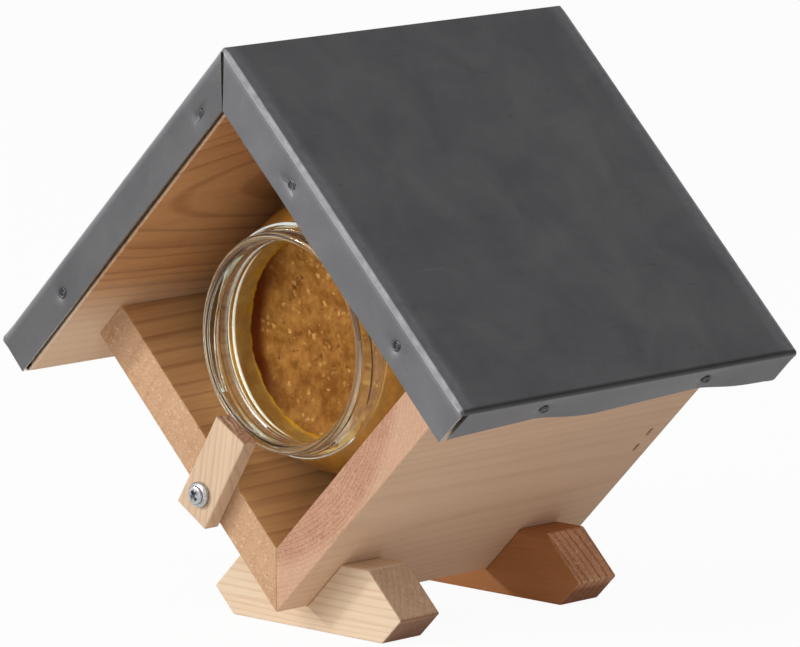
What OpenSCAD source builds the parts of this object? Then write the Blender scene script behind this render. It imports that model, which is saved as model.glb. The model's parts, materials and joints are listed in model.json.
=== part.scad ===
// Peanut butter bird feeder: a wooden house on two feet that holds a glass jar on its side.
// Front is -Y, up is +Z. The origin is on the floor, under the middle of the roof.
// The house is a square tunnel set on its corner, so its boards are drawn in a frame turned by 45 degrees.

/* [Jar] */
// Outer diameter of the jar's body
jar_body_d = 78.4; // [70:0.2:90]
// Length of the jar from its lip to its base
jar_len = 96; // [80:0.5:130]
// Thickness of the glass wall
glass_t = 2.6; // [1.8:0.1:4]
// Thickness of the glass base
glass_base_t = 4; // [2.5:0.1:6]
// Outer diameter of the lip and neck
lip_d = 61; // [50:0.5:64]
// Length of the neck, from the lip to the start of the shoulder
neck_len = 9.2; // [8.8:0.1:14]
// Length of the rounded shoulder
shoulder_len = 16; // [10:0.5:24]
// Outer diameter of the bead round the neck
bead_d = 65; // [64.5:0.1:68]
// Width of the bead along the neck
bead_w = 3.2; // [2:0.1:3.6]
// Distance from the lip to the middle of the bead
bead_at = 7; // [5:0.1:7]
// Radius of the heel round the jar's base
heel_r = 6; // [4.5:0.5:12]
// Distance from the lip to the surface of the peanut butter
fill_depth = 18; // [10:0.5:40]

/* [House] */
// Thickness of the wall boards, roof boards and back panel
board_t = 12.5; // [9:0.5:18]
// Spare width of the tunnel beside the jar
jar_room = 6.4; // [3:0.2:20]
// How far the jar's lip lies behind the front of the walls
rim_setback = 1.9; // [1:0.1:10]
// How far the roof stands out in front of the walls
front_overhang = 18.8; // [16:0.2:40]
// How far the roof stands out behind the walls
rear_overhang = 1.7; // [1:0.1:20]
// How far each eave reaches past the outer face of its wall, along the slope
eave_overhang = 14.6; // [14:0.2:40]

/* [Roof sheet] */
// Thickness of the folded metal sheet
sheet_t = 0.6; // [0.4:0.1:1.2]
// Height of the flanges, from the top of the sheet
flange_drop = 12.3; // [9:0.1:13]
// Open slit between a front or rear flange and the eave flange beside it
corner_slit = 2.8; // [1:0.1:4]
// Open slit at the ridge between the two front or the two rear flanges
ridge_slit = 0.8; // [0.4:0.1:3]

/* [Feet] */
// Length of a foot from tip to tip
foot_len = 71.6; // [64:0.2:120]
// Height of a foot
foot_h = 19.6; // [14:0.2:20]
// Thickness of a foot, front to back
foot_t = 15.2; // [10:0.2:20]
// Height of a foot's pointed tips above the floor
foot_tip_z = 7.2; // [4:0.2:10]
// Height of the bottom of the V above the floor
foot_lift = 6.3; // [5:0.1:10]
// Distance of the front foot behind the front of the walls
front_foot_inset = 11.6; // [0:0.2:20]
// Distance of the rear foot in front of the rear of the walls
rear_foot_inset = 13.8; // [0:0.2:20]

/* [Turn button] */
// Length of the turn button
button_len = 29.9; // [26:0.1:34]
// Width of the turn button
button_w = 12.6; // [9:0.1:16]
// Thickness of the turn button
button_t = 5.2; // [4:0.1:8]
// Distance from the screw to the button's near end
button_end = 7.4; // [5:0.1:10]
// Angle of the button above the horizontal
button_angle = 58.5; // [50:0.5:70]
// Distance of the screw from the bottom of the V, along the wall
button_up = 38.1; // [32:0.1:44]
// Distance of the screw from the outer face of the wall
button_in = 4.7; // [4:0.1:7]
// Shank diameter of the button's screw
screw_d = 3.5; // [3:0.1:4.5]
// Length of the button's screw under its head
screw_len = 25; // [18:0.5:30]
// Diameter of the pan head
head_d = 7; // [6:0.1:9]
// Height of the pan head
head_h = 2.4; // [2:0.1:4]
// Radius of the dome on the pan head
head_dome_r = 5.6; // [5:0.1:9]
// Length across the cross recess
cross_len = 4.4; // [3.6:0.1:5]
// Width of each arm of the cross recess
cross_w = 0.9; // [0.6:0.05:1.2]
// Depth of the cross recess
cross_depth = 1.4; // [1:0.1:1.8]
// Length of the pointed end of the button's screw
screw_tip_len = 3.5; // [2:0.1:6]

/* [Fasteners] */
// Shank diameter of the flange nails
nail_d = 1.4; // [1:0.1:2]
// Length of the flange nails
nail_len = 14; // [8:0.5:14]
// Length of a flange nail's point
nail_tip_len = 1.5; // [1:0.1:3]
// Head diameter of the flange nails
nail_head_d = 2.8; // [2.4:0.1:4]
// Thickness of a flange nail's head
nail_head_t = 0.6; // [0.4:0.1:1]
// Distance of the flange nails from the flange's free edge
nail_edge = 5.5; // [4:0.1:7]
// Distance of the upper nail from the ridge, in the front left flange
left_nail_from_ridge = 20; // [18:0.5:60]
// Distance of the upper nail from the ridge, in the other sloping flanges
nail_from_ridge = 42.5; // [18:0.5:48]
// Distance of the lower nail from the eave, in every sloping flange
nail_from_eave = 28; // [16:0.5:32]
// Distance of the front eave nail from the front of the roof
eave_nail_from_front = 36.3; // [20:0.1:50]
// Distance of the rear eave nail from the rear of the roof
eave_nail_from_rear = 31.5; // [20:0.1:50]
// Width of a brad's square shank
brad_d = 1.2; // [0.8:0.1:1.6]
// Length of the brads
brad_len = 25; // [20:0.5:28]
// Length of a brad's head
brad_head_len = 3.2; // [2.4:0.1:4]
// Thickness of a brad's head
brad_head_t = 1; // [0.6:0.1:1.5]
// Depth to which the brads are sunk
brad_sink = 0.5; // [0.2:0.1:1]
// Distance of the lower back panel brad from the bottom of the V, along the wall
back_brad_up = 51; // [30:0.5:60]
// Distance between the two brads that hold the back panel in each wall
back_brad_step = 7; // [5:0.5:12]
// Distance of the roof brads from the front and rear of the walls
roof_brad_inset = 24; // [20:0.5:40]
// Distance of the ridge brads from the front and rear of the roof
ridge_brad_inset = 34; // [20:0.5:50]
// Distance of the V joint brads from the feet
v_brad_inset = 14; // [6:0.5:16]
// Shank diameter of the screws in the feet
foot_screw_d = 3; // [2.4:0.1:4]
// Length of the screws in the feet
foot_screw_len = 20; // [17:0.5:22]
// Head diameter of the countersunk screws in the feet
foot_screw_head_d = 5.6; // [5:0.1:7]
// Length across the cross recess of a foot screw
foot_cross_len = 3; // [2:0.1:4]
// Width of each arm of a foot screw's cross recess
foot_cross_w = 0.6; // [0.4:0.05:1]
// Depth of a foot screw's cross recess
foot_cross_depth = 1.2; // [0.8:0.1:2]
// Length of the pointed end of a foot screw
foot_screw_tip_len = 3; // [2:0.1:5]
// Distance of each foot screw from the middle of the foot
foot_screw_x = 7; // [5:0.1:9]

/* [Clearances] */
// Gap between the jar and each wall that it lies on
seat_gap = 0.3; // [0.2:0.05:1]
// Gap between the jar's base and the back panel
jar_end_gap = 0.6; // [0.3:0.1:3]
// Gap between the glass and the peanut butter
fill_gap = 0.15; // [0.05:0.05:0.5]
// Gap on each face of the turn button
button_gap = 0.15; // [0.1:0.05:0.4]
// Running clearance round the screw in the turn button
screw_run = 0.06; // [0.02:0.01:0.1]
// Clearance round nails, brads and screws in their holes
hole_fit = 0.05; // [0.02:0.01:0.2]

/* [Hidden] */
$fn = 64;
ROOT2 = sqrt(2);
PAST = 1;
POINT_D = 0.5;
ARC_STEPS = 8;

// House, across: w_in and w_out are the inner and outer side of the square tunnel
w_in = jar_body_d + jar_room;
w_out = w_in + board_t;
roof_t = board_t + sheet_t;
eave_x = w_out + eave_overhang;
ridge_z = foot_lift + w_out * ROOT2;

// House, front to back
wall_depth = rim_setback + jar_len + jar_end_gap + board_t;
roof_depth = front_overhang + wall_depth + rear_overhang;
front_y = -roof_depth / 2;
rear_y = roof_depth / 2;
wall_front = front_y + front_overhang;
wall_rear = rear_y - rear_overhang;
lip_y = wall_front + rim_setback;
front_foot_y = wall_front + front_foot_inset;
rear_foot_y = wall_rear - rear_foot_inset - foot_t;

// Jar
body_r = jar_body_d / 2;
neck_r = lip_d / 2;
lip_r = glass_t / 2;
bead_r = bead_w / 2;
jar_z = foot_lift + (board_t + seat_gap + body_r) * ROOT2;

// Turn button: place of its screw on the front of the left wall
button_x = (button_in - button_up) / ROOT2;
button_z = foot_lift + (button_up + button_in) / ROOT2;
button_back = wall_front - button_gap;
head_seat = button_back - button_t - button_gap;

// Fasteners
foot_head_h = (foot_screw_head_d - foot_screw_d) / 2;
FOOT_SCREW_SINK = 0.3;
nail_z = roof_t - flange_drop + nail_edge;

// Colours
WALL_COLOUR = "#CDA47F";
ROOF_BOARD_COLOUR = "#B98A62";
FOOT_COLOUR = "#DDBE98";
BUTTON_COLOUR = "#DDBE9B";
METAL_COLOUR = "#56565A";
STEEL_COLOUR = "#B4B6B8";
GLASS_COLOUR = [0.86, 0.92, 0.88, 0.35];
BUTTER_COLOUR = "#A8733A";

// Frame of the tunnel: origin at the inner ridge corner, x down the right slope, z along its outward normal
module tilted() {
    translate([0, 0, ridge_z]) rotate([0, 45, 0]) children();
}

// Mirror image on the left side
module on_left() {
    mirror([1, 0, 0]) children();
}

// Prism from a drawing in x and z, between two places along y
module along_y(from, to) {
    translate([0, to, 0]) rotate([90, 0, 0]) linear_extrude(to - from) children();
}

// Solid of revolution about the jar's axis, drawn as radius and distance from the lip
module about_jar_axis() {
    translate([0, lip_y, jar_z]) rotate([-90, 0, 0]) rotate_extrude() children();
}

// Brad driven down from z = 0; a hole is the same shape with clearance, open at the top
module brad(clear = 0) {
    open = clear > 0 ? PAST : 0;
    side = brad_d + 2 * clear;
    translate([-brad_head_len / 2 - clear, -side / 2, -brad_sink - brad_head_t - clear])
        cube([brad_head_len + 2 * clear, side, brad_head_t + clear + open]);
    translate([-side / 2, -side / 2, -brad_len - clear])
        cube([side, side, brad_len - brad_sink + clear]);
}

// Flange nail driven down from z = 0, with its head on top; its hole leaves the head out
module nail(clear = 0) {
    shank_top = clear > 0 ? PAST : nail_head_t / 2;
    translate([0, 0, -nail_len])
        cylinder(d1 = POINT_D + 2 * clear, d2 = nail_d + 2 * clear, h = nail_tip_len);
    translate([0, 0, nail_tip_len - nail_len])
        cylinder(d = nail_d + 2 * clear, h = nail_len - nail_tip_len + shank_top);
    if (clear == 0) cylinder(d = nail_head_d, h = nail_head_t);
}

// Fasteners, each drawn once for its node and once with clearance for its holes
module sloping_nails(from_ridge, y, turn, clear) {
    tilted() for (x = [from_ridge - roof_t, eave_x - nail_from_eave])
        translate([x, y, nail_z]) rotate([turn, 0, 0]) nail(clear);
}

module right_front_nails(from_ridge, clear = 0) {
    sloping_nails(from_ridge, front_y, 90, clear);
}

module right_rear_nails(clear = 0) {
    sloping_nails(nail_from_ridge, rear_y, -90, clear);
}

module right_eave_nail_pair(clear = 0) {
    tilted() for (y = [front_y + eave_nail_from_front, rear_y - eave_nail_from_rear])
        translate([eave_x, y, nail_z]) rotate([0, 90, 0]) nail(clear);
}

module ridge_brad_pair(clear = 0) {
    tilted() for (y = [front_y + ridge_brad_inset, rear_y - ridge_brad_inset])
        translate([-board_t, y, board_t / 2]) rotate([0, -90, 0]) rotate([0, 0, 90]) brad(clear);
}

module right_roof_brad_pair(clear = 0) {
    tilted() for (y = [wall_front + roof_brad_inset, wall_rear - roof_brad_inset])
        translate([w_out - board_t / 2, y, board_t]) rotate([0, 0, 90]) brad(clear);
}

module right_roof_back_brad(clear = 0) {
    tilted() translate([w_in / 2, wall_rear - board_t / 2, board_t]) brad(clear);
}

module right_back_brad_pair(clear = 0) {
    tilted() for (up = [back_brad_up, back_brad_up + back_brad_step])
        translate([w_out, wall_rear - board_t / 2, up - w_out]) rotate([0, 90, 0]) brad(clear);
}

module v_brad_pair(clear = 0) {
    tilted() for (y = [front_foot_y + foot_t + v_brad_inset, rear_foot_y - v_brad_inset])
        translate([w_out - board_t / 2, y, -w_out]) rotate([180, 0, 0]) rotate([0, 0, 90]) brad(clear);
}

// Countersunk screws driven up through a foot; the front of the foot is at foot_y
module foot_screw_pair(foot_y, clear = 0) {
    open = clear > 0 ? FOOT_SCREW_SINK + PAST : 0;
    for (x = [-foot_screw_x, foot_screw_x]) translate([x, foot_y + foot_t / 2, FOOT_SCREW_SINK]) {
        translate([0, 0, -open]) cylinder(d = foot_screw_head_d + 2 * clear, h = open);
        cylinder(d1 = foot_screw_head_d + 2 * clear, d2 = foot_screw_d + 2 * clear, h = foot_head_h);
        cylinder(d = foot_screw_d + 2 * clear, h = foot_screw_len - foot_screw_tip_len);
        translate([0, 0, foot_screw_len - foot_screw_tip_len])
            cylinder(d1 = foot_screw_d + 2 * clear, d2 = POINT_D + 2 * clear, h = foot_screw_tip_len + clear);
    }
}

// Screw along y from the head's seat into the wall
module button_shank(clear = 0) {
    translate([button_x, head_seat, button_z]) rotate([-90, 0, 0]) {
        cylinder(d = screw_d + 2 * clear, h = screw_len - screw_tip_len);
        translate([0, 0, screw_len - screw_tip_len])
            cylinder(d1 = screw_d + 2 * clear, d2 = POINT_D + 2 * clear, h = screw_tip_len + clear);
    }
}

// Cross recess cut into a screw head from z = 0 downwards
module cross_recess(len, width, depth) {
    for (turn = [0, 90]) rotate([0, 0, turn])
        translate([-len / 2, -width / 2, -depth]) cube([len, width, depth + PAST]);
}

// Board shapes of the right side, in the tilted frame
module right_roof_shape() {
    end = eave_x - sheet_t;
    tilted() along_y(front_y + sheet_t, rear_y - sheet_t)
        polygon([[0, 0], [end, 0], [end, board_t], [-board_t, board_t]]);
}

module right_wall_shape() {
    tilted() along_y(wall_front, wall_rear)
        polygon([[w_in, 0], [w_out, 0], [w_out, -w_out], [w_in, -w_in]]);
}

// Foot outline seen from the front: pointed ends at 45 degrees and a V notch for the walls
module foot_shape(foot_y) {
    half = foot_len / 2;
    shoulder = half - (foot_h - foot_tip_z);
    notch = foot_h - foot_lift;
    bottom = half - foot_tip_z;
    along_y(foot_y, foot_y + foot_t)
        polygon([[-bottom, 0], [bottom, 0], [half, foot_tip_z], [shoulder, foot_h], [notch, foot_h],
                 [0, foot_lift], [-notch, foot_h], [-shoulder, foot_h], [-half, foot_tip_z]]);
}

// Shoulder and heel of the jar as curves from the neck to the base; inset is taken off the radius
function shoulder_r(share) = neck_r + (body_r - neck_r) * sin(90 * share);

function shoulder_curve(inset) =
    [for (i = [0 : ARC_STEPS])
        [shoulder_r(i / ARC_STEPS) - inset, neck_len + shoulder_len * i / ARC_STEPS]];

function heel_curve(r, edge_r, base) =
    [for (i = [0 : ARC_STEPS])
        [edge_r - r + r * cos(90 * i / ARC_STEPS), base - r + r * sin(90 * i / ARC_STEPS)]];

// Inside of the jar below a given distance from the lip, drawn back by a gap from the glass
module jar_inside(from, gap) {
    inset = glass_t + gap;
    below = [for (p = shoulder_curve(inset)) if (p[1] > from) p];
    share = min(max((from - neck_len) / shoulder_len, 0), 1);
    top_r = shoulder_r(share) - inset;
    polygon(concat([[0, from], [top_r, from]], below,
                   heel_curve(heel_r - glass_t, body_r - inset, jar_len - glass_base_t - gap),
                   [[0, jar_len - glass_base_t - gap]]));
}

// Section of the bead, rooted in the neck and rounded at its crest
module bead_shape() {
    crest = bead_d / 2 - bead_r;
    root = neck_r - glass_t / 2;
    translate([crest, bead_at]) circle(r = bead_r);
    if (crest > root) translate([root, bead_at - bead_r]) square([crest - root, bead_w]);
}

module roof_sheet() {
    edge = roof_t - flange_drop;
    color(METAL_COLOUR) difference() {
        union() {
            tilted() along_y(front_y, rear_y)
                polygon([[-roof_t, roof_t], [eave_x, roof_t], [eave_x, board_t],
                         [-board_t, board_t], [-board_t, -eave_x], [-roof_t, -eave_x]]);
            tilted() along_y(front_y + corner_slit, rear_y - corner_slit) {
                translate([eave_x - sheet_t, edge]) square([sheet_t, flange_drop]);
                translate([-roof_t, -eave_x]) square([flange_drop, sheet_t]);
            }
            for (y = [front_y, rear_y - sheet_t]) tilted() along_y(y, y + sheet_t)
                polygon([[-roof_t, roof_t], [eave_x, roof_t], [eave_x, edge],
                         [-edge, edge], [-edge, -eave_x], [-roof_t, -eave_x]]);
        }
        for (y = [front_y - PAST, rear_y - sheet_t])
            translate([-ridge_slit / 2, y, ridge_z])
                cube([ridge_slit, sheet_t + PAST, board_t * ROOT2]);
        right_front_nails(nail_from_ridge, hole_fit);
        on_left() right_front_nails(left_nail_from_ridge, hole_fit);
        right_rear_nails(hole_fit);
        on_left() right_rear_nails(hole_fit);
        right_eave_nail_pair(hole_fit);
        on_left() right_eave_nail_pair(hole_fit);
    }
}

module right_roof_board() {
    color(ROOF_BOARD_COLOUR) difference() {
        right_roof_shape();
        right_front_nails(nail_from_ridge, hole_fit);
        right_rear_nails(hole_fit);
        right_eave_nail_pair(hole_fit);
        right_roof_brad_pair(hole_fit);
        right_roof_back_brad(hole_fit);
        ridge_brad_pair(hole_fit);
    }
}

module left_roof_board() {
    color(ROOF_BOARD_COLOUR) difference() {
        on_left() right_roof_shape();
        on_left() right_front_nails(left_nail_from_ridge, hole_fit);
        on_left() right_rear_nails(hole_fit);
        on_left() right_eave_nail_pair(hole_fit);
        on_left() right_roof_brad_pair(hole_fit);
        on_left() right_roof_back_brad(hole_fit);
        ridge_brad_pair(hole_fit);
    }
}

module right_wall() {
    color(WALL_COLOUR) difference() {
        right_wall_shape();
        right_roof_brad_pair(hole_fit);
        right_back_brad_pair(hole_fit);
        v_brad_pair(hole_fit);
        foot_screw_pair(front_foot_y, hole_fit);
        foot_screw_pair(rear_foot_y, hole_fit);
    }
}

module left_wall() {
    color(WALL_COLOUR) difference() {
        on_left() right_wall_shape();
        on_left() right_roof_brad_pair(hole_fit);
        on_left() right_back_brad_pair(hole_fit);
        v_brad_pair(hole_fit);
        foot_screw_pair(front_foot_y, hole_fit);
        foot_screw_pair(rear_foot_y, hole_fit);
        button_shank(hole_fit);
    }
}

module back_panel() {
    color(WALL_COLOUR) difference() {
        tilted() along_y(wall_rear - board_t, wall_rear) translate([0, -w_in]) square(w_in);
        right_back_brad_pair(hole_fit);
        on_left() right_back_brad_pair(hole_fit);
        right_roof_back_brad(hole_fit);
        on_left() right_roof_back_brad(hole_fit);
    }
}

module front_foot() {
    color(FOOT_COLOUR) difference() {
        foot_shape(front_foot_y);
        foot_screw_pair(front_foot_y, hole_fit);
    }
}

module rear_foot() {
    color(FOOT_COLOUR) difference() {
        foot_shape(rear_foot_y);
        foot_screw_pair(rear_foot_y, hole_fit);
    }
}

module turn_button() {
    color(BUTTON_COLOUR) difference() {
        translate([button_x, 0, button_z]) rotate([0, -button_angle, 0])
            translate([-button_end, button_back - button_t, -button_w / 2])
                cube([button_len, button_t, button_w]);
        translate([button_x, head_seat - PAST, button_z]) rotate([-90, 0, 0])
            cylinder(d = screw_d + 2 * screw_run, h = button_t + 2 * (button_gap + PAST));
    }
}

module turn_button_screw() {
    color(STEEL_COLOUR) difference() {
        union() {
            button_shank();
            translate([button_x, head_seat, button_z]) rotate([90, 0, 0]) intersection() {
                cylinder(d = head_d, h = head_h);
                translate([0, 0, head_h - head_dome_r]) sphere(r = head_dome_r);
            }
        }
        translate([button_x, head_seat - head_h, button_z]) rotate([90, button_angle, 0])
            cross_recess(cross_len, cross_w, cross_depth);
    }
}

module jar() {
    color(GLASS_COLOUR) difference() {
        union() {
            about_jar_axis()
                polygon(concat([[0, lip_r], [neck_r, lip_r]], shoulder_curve(0),
                               heel_curve(heel_r, body_r, jar_len), [[0, jar_len]]));
            about_jar_axis() translate([neck_r - lip_r, lip_r]) circle(r = lip_r);
            about_jar_axis() bead_shape();
        }
        about_jar_axis() jar_inside(lip_r, 0);
        translate([0, lip_y - PAST, jar_z]) rotate([-90, 0, 0])
            cylinder(r = neck_r - glass_t, h = lip_r + 2 * PAST);
    }
}

module peanut_butter() {
    color(BUTTER_COLOUR) about_jar_axis() jar_inside(fill_depth, fill_gap);
}

module steel() {
    color(STEEL_COLOUR) children();
}

module front_left_nails() { steel() on_left() right_front_nails(left_nail_from_ridge); }
module front_right_nails() { steel() right_front_nails(nail_from_ridge); }
module rear_left_nails() { steel() on_left() right_rear_nails(); }
module rear_right_nails() { steel() right_rear_nails(); }
module left_eave_nails() { steel() on_left() right_eave_nail_pair(); }
module right_eave_nails() { steel() right_eave_nail_pair(); }
module ridge_brads() { steel() ridge_brad_pair(); }
module left_roof_brads() { steel() on_left() right_roof_brad_pair(); }
module right_roof_brads() { steel() right_roof_brad_pair(); }
module left_back_brads() { steel() on_left() right_back_brad_pair(); }
module right_back_brads() { steel() right_back_brad_pair(); }
module v_joint_brads() { steel() v_brad_pair(); }

module roof_back_brads() {
    steel() {
        right_roof_back_brad();
        on_left() right_roof_back_brad();
    }
}

module foot_screw_recesses(foot_y) {
    for (x = [-foot_screw_x, foot_screw_x])
        translate([x, foot_y + foot_t / 2, FOOT_SCREW_SINK]) rotate([180, 0, 0])
            cross_recess(foot_cross_len, foot_cross_w, foot_cross_depth);
}

module front_foot_screws() {
    steel() difference() {
        foot_screw_pair(front_foot_y);
        foot_screw_recesses(front_foot_y);
    }
}

module rear_foot_screws() {
    steel() difference() {
        foot_screw_pair(rear_foot_y);
        foot_screw_recesses(rear_foot_y);
    }
}

roof_sheet();
left_roof_board();
right_roof_board();
left_wall();
right_wall();
back_panel();
front_foot();
rear_foot();
turn_button();
turn_button_screw();
jar();
peanut_butter();
front_left_nails();
front_right_nails();
rear_left_nails();
rear_right_nails();
left_eave_nails();
right_eave_nails();
ridge_brads();
left_roof_brads();
right_roof_brads();
roof_back_brads();
left_back_brads();
right_back_brads();
v_joint_brads();
front_foot_screws();
rear_foot_screws();
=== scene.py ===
"""A peanut butter bird feeder: bare larch boards, a folded zinc roof and a glass jar on its side.

Sizes and places are in millimetres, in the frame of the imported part: front is -Y and up is +Z.
Meshes are drawn in millimetres and turned to metres when they become objects.
"""

import json
import logging
import math
from dataclasses import dataclass, field
from enum import Enum
from functools import partial
from typing import Any, Callable, Sequence

import bmesh
import bpy
from mathutils import Matrix, Vector, noise


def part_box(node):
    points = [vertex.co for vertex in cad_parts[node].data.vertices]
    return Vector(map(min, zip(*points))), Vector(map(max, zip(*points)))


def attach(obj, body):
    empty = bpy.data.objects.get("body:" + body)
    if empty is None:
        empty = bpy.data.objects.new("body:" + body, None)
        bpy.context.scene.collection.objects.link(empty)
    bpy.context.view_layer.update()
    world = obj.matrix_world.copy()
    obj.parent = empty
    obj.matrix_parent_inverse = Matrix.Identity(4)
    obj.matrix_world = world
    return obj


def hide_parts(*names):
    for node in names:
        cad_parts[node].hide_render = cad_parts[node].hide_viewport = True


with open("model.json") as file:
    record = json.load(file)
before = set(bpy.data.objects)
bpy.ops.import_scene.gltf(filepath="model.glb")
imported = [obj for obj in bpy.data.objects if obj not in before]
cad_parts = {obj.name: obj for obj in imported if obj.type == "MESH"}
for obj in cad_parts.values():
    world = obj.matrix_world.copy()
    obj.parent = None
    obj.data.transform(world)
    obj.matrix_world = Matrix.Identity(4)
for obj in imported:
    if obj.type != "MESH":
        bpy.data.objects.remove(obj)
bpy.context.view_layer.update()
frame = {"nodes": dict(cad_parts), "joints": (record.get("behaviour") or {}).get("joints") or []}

LOG = logging.getLogger("bird_feeder")
MM = 0.001
ROOT2 = math.sqrt(2)
Point = tuple[float, float]
Place = tuple[float, float, float]
AddNode = Callable[..., bpy.types.Node]

# Sockets of the colour Mix node, which share their names with its other kinds
FACTOR, FIRST, SECOND = 0, 6, 7


class Side(Enum):
    """Side of the house, seen from the front."""

    LEFT = -1
    RIGHT = 1


class Body(Enum):
    """Moving bodies of the part."""

    HOUSE = "house"
    BUTTON = "button"
    JAR = "filled_jar"


class Slot(Enum):
    """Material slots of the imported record."""

    ROOF_METAL = "roof_metal"
    ROOF_WOOD = "roof_wood"
    WALL_WOOD = "wall_wood"
    FOOT_WOOD = "foot_wood"
    BUTTON_WOOD = "button_wood"
    STEEL = "zinc_plated_steel"
    GLASS = "glass"
    BUTTER = "peanut_butter"


class Zone(Enum):
    """Part of the roof sheet that a grid line lies in."""

    FLANGE = "flange"
    FOLD = "fold"
    SLOPE = "slope"


def linear(colour: str) -> tuple[float, float, float, float]:
    """Turns an sRGB hex colour into linear RGBA.

    Args:
        colour: Six hex digits after a hash sign.

    Returns:
        Linear red, green and blue, and an alpha of 1.
    """
    levels = [int(colour[i:i + 2], 16) / 255 for i in (1, 3, 5)]
    red, green, blue = (x / 12.92 if x <= 0.04045 else ((x + 0.055) / 1.055) ** 2.4 for x in levels)
    return red, green, blue, 1.0


def set_inputs(node: bpy.types.Node, inputs: dict[Any, Any]) -> None:
    """Sets or links inputs of a node.

    Args:
        node: Node to change.
        inputs: For each input, by its name or number, a value, an output socket, or a node, whose first
            output in use is linked.
    """
    for key, value in inputs.items():
        if isinstance(value, bpy.types.Node):
            value = next(socket for socket in value.outputs if socket.enabled)
        if isinstance(value, bpy.types.NodeSocket):
            node.id_data.links.new(value, node.inputs[key])
        else:
            node.inputs[key].default_value = value


def add_node(tree: bpy.types.NodeTree, kind: str, inputs: dict[Any, Any] | None = None,
             **settings: Any) -> bpy.types.Node:
    """Adds a node with its settings and links.

    Args:
        tree: Shader or geometry tree.
        kind: Blender's name for the kind of node.
        inputs: Its inputs, as set_inputs takes them.
        settings: Properties of the node.

    Returns:
        The new node.
    """
    node = tree.nodes.new(kind)
    for name, value in settings.items():
        setattr(node, name, value)
    set_inputs(node, inputs or {})
    return node


def new_material(name: str) -> tuple[bpy.types.Material, AddNode, bpy.types.Node]:
    """Makes a material that holds one Principled shader.

    Args:
        name: Name of the material.

    Returns:
        The material, the function that adds nodes to it, and its shader node.
    """
    material = bpy.data.materials.new(name)
    material.use_nodes = True
    tree = material.node_tree
    return material, partial(add_node, tree), tree.nodes["Principled BSDF"]


def in_mm(box: Sequence[Vector]) -> tuple[Vector, Vector]:
    """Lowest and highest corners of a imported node's box, turned into millimetres."""
    low, high = box
    return low / MM, high / MM


def new_object(name: str, data: bpy.types.ID) -> bpy.types.Object:
    """Makes an object from its data and links it to the scene."""
    obj = bpy.data.objects.new(name, data)
    bpy.context.scene.collection.objects.link(obj)
    return obj


def object_from(bm: bmesh.types.BMesh, name: str, *materials: bpy.types.Material,
                closed: bool = True) -> bpy.types.Object:
    """Turns a mesh drawn in millimetres into an object in metres.

    Args:
        bm: Mesh to use; it is freed.
        name: Name of the object.
        materials: Materials of the object.
        closed: Whether the mesh is a closed shell, whose faces are turned outwards.

    Returns:
        The object, linked to the scene.
    """
    bmesh.ops.remove_doubles(bm, verts=bm.verts, dist=1e-4)
    if closed:
        bmesh.ops.recalc_face_normals(bm, faces=bm.faces)
    bmesh.ops.scale(bm, vec=(MM, MM, MM), verts=bm.verts)
    mesh = bpy.data.meshes.new(name)
    bm.to_mesh(mesh)
    bm.free()
    for material in materials:
        mesh.materials.append(material)
    return new_object(name, mesh)


def apply_modifiers(obj: bpy.types.Object) -> None:
    """Turns an object's modifiers into its plain mesh."""
    depsgraph = bpy.context.evaluated_depsgraph_get()
    mesh = bpy.data.meshes.new_from_object(obj.evaluated_get(depsgraph))
    obj.modifiers.clear()
    obj.data = mesh


def smooth(obj: bpy.types.Object, sharp_angle: float) -> None:
    """Shades an object smooth, apart from edges that turn by more than an angle in degrees."""
    obj.data.shade_smooth()
    obj.data.set_sharp_from_angle(angle=math.radians(sharp_angle))


def join_shapes(obj: bpy.types.Object, other: bpy.types.Object, operation: str) -> None:
    """Cuts another object out of an object, or fuses it on, and removes the other.

    Args:
        obj: Object to change.
        other: Object to cut out or fuse on.
        operation: DIFFERENCE or UNION.
    """
    modifier = obj.modifiers.new("shape", "BOOLEAN")
    modifier.object = other
    modifier.operation = operation
    modifier.solver = "EXACT"
    apply_modifiers(obj)
    bpy.data.objects.remove(other)


def run_tree(obj: bpy.types.Object, tree: bpy.types.NodeTree, sizes: dict[str, float]) -> None:
    """Runs a geometry tree on an object and keeps the result as a plain mesh.

    Args:
        obj: Object that the tree works on.
        tree: Geometry tree.
        sizes: Value of each named input.
    """
    modifier = obj.modifiers.new(tree.name, "NODES")
    modifier.node_group = tree
    for item in tree.interface.items_tree:
        if item.in_out == "INPUT" and item.name in sizes:
            modifier[item.identifier] = sizes[item.name]
    apply_modifiers(obj)


def new_geometry_tree(name: str, inputs: dict[str, str]) -> tuple[bpy.types.NodeTree, AddNode, Any]:
    """Makes a geometry tree with one geometry in, one geometry out and named inputs.

    Args:
        name: Name of the tree.
        inputs: Socket type of each named input.

    Returns:
        The tree, the function that adds nodes to it, and the values that come in, by name.
    """
    tree = bpy.data.node_groups.new(name, "GeometryNodeTree")
    tree.interface.new_socket("Geometry", in_out="INPUT", socket_type="NodeSocketGeometry")
    for label, kind in inputs.items():
        tree.interface.new_socket(label, in_out="INPUT", socket_type=kind)
    tree.interface.new_socket("Geometry", in_out="OUTPUT", socket_type="NodeSocketGeometry")
    return tree, partial(add_node, tree), add_node(tree, "NodeGroupInput").outputs


def end_geometry_tree(tree: bpy.types.NodeTree, instances: bpy.types.Node,
                      material: bpy.types.Material) -> None:
    """Ends a geometry tree: real meshes, shaded smooth, with their material.

    Args:
        tree: Geometry tree.
        instances: Node that makes the instances.
        material: Material of the result.
    """
    real = add_node(tree, "GeometryNodeRealizeInstances", {"Geometry": instances})
    rounded = add_node(tree, "GeometryNodeSetShadeSmooth", {"Geometry": real})
    painted = add_node(tree, "GeometryNodeSetMaterial", {"Geometry": rounded, "Material": material})
    add_node(tree, "NodeGroupOutput", {"Geometry": painted})


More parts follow.
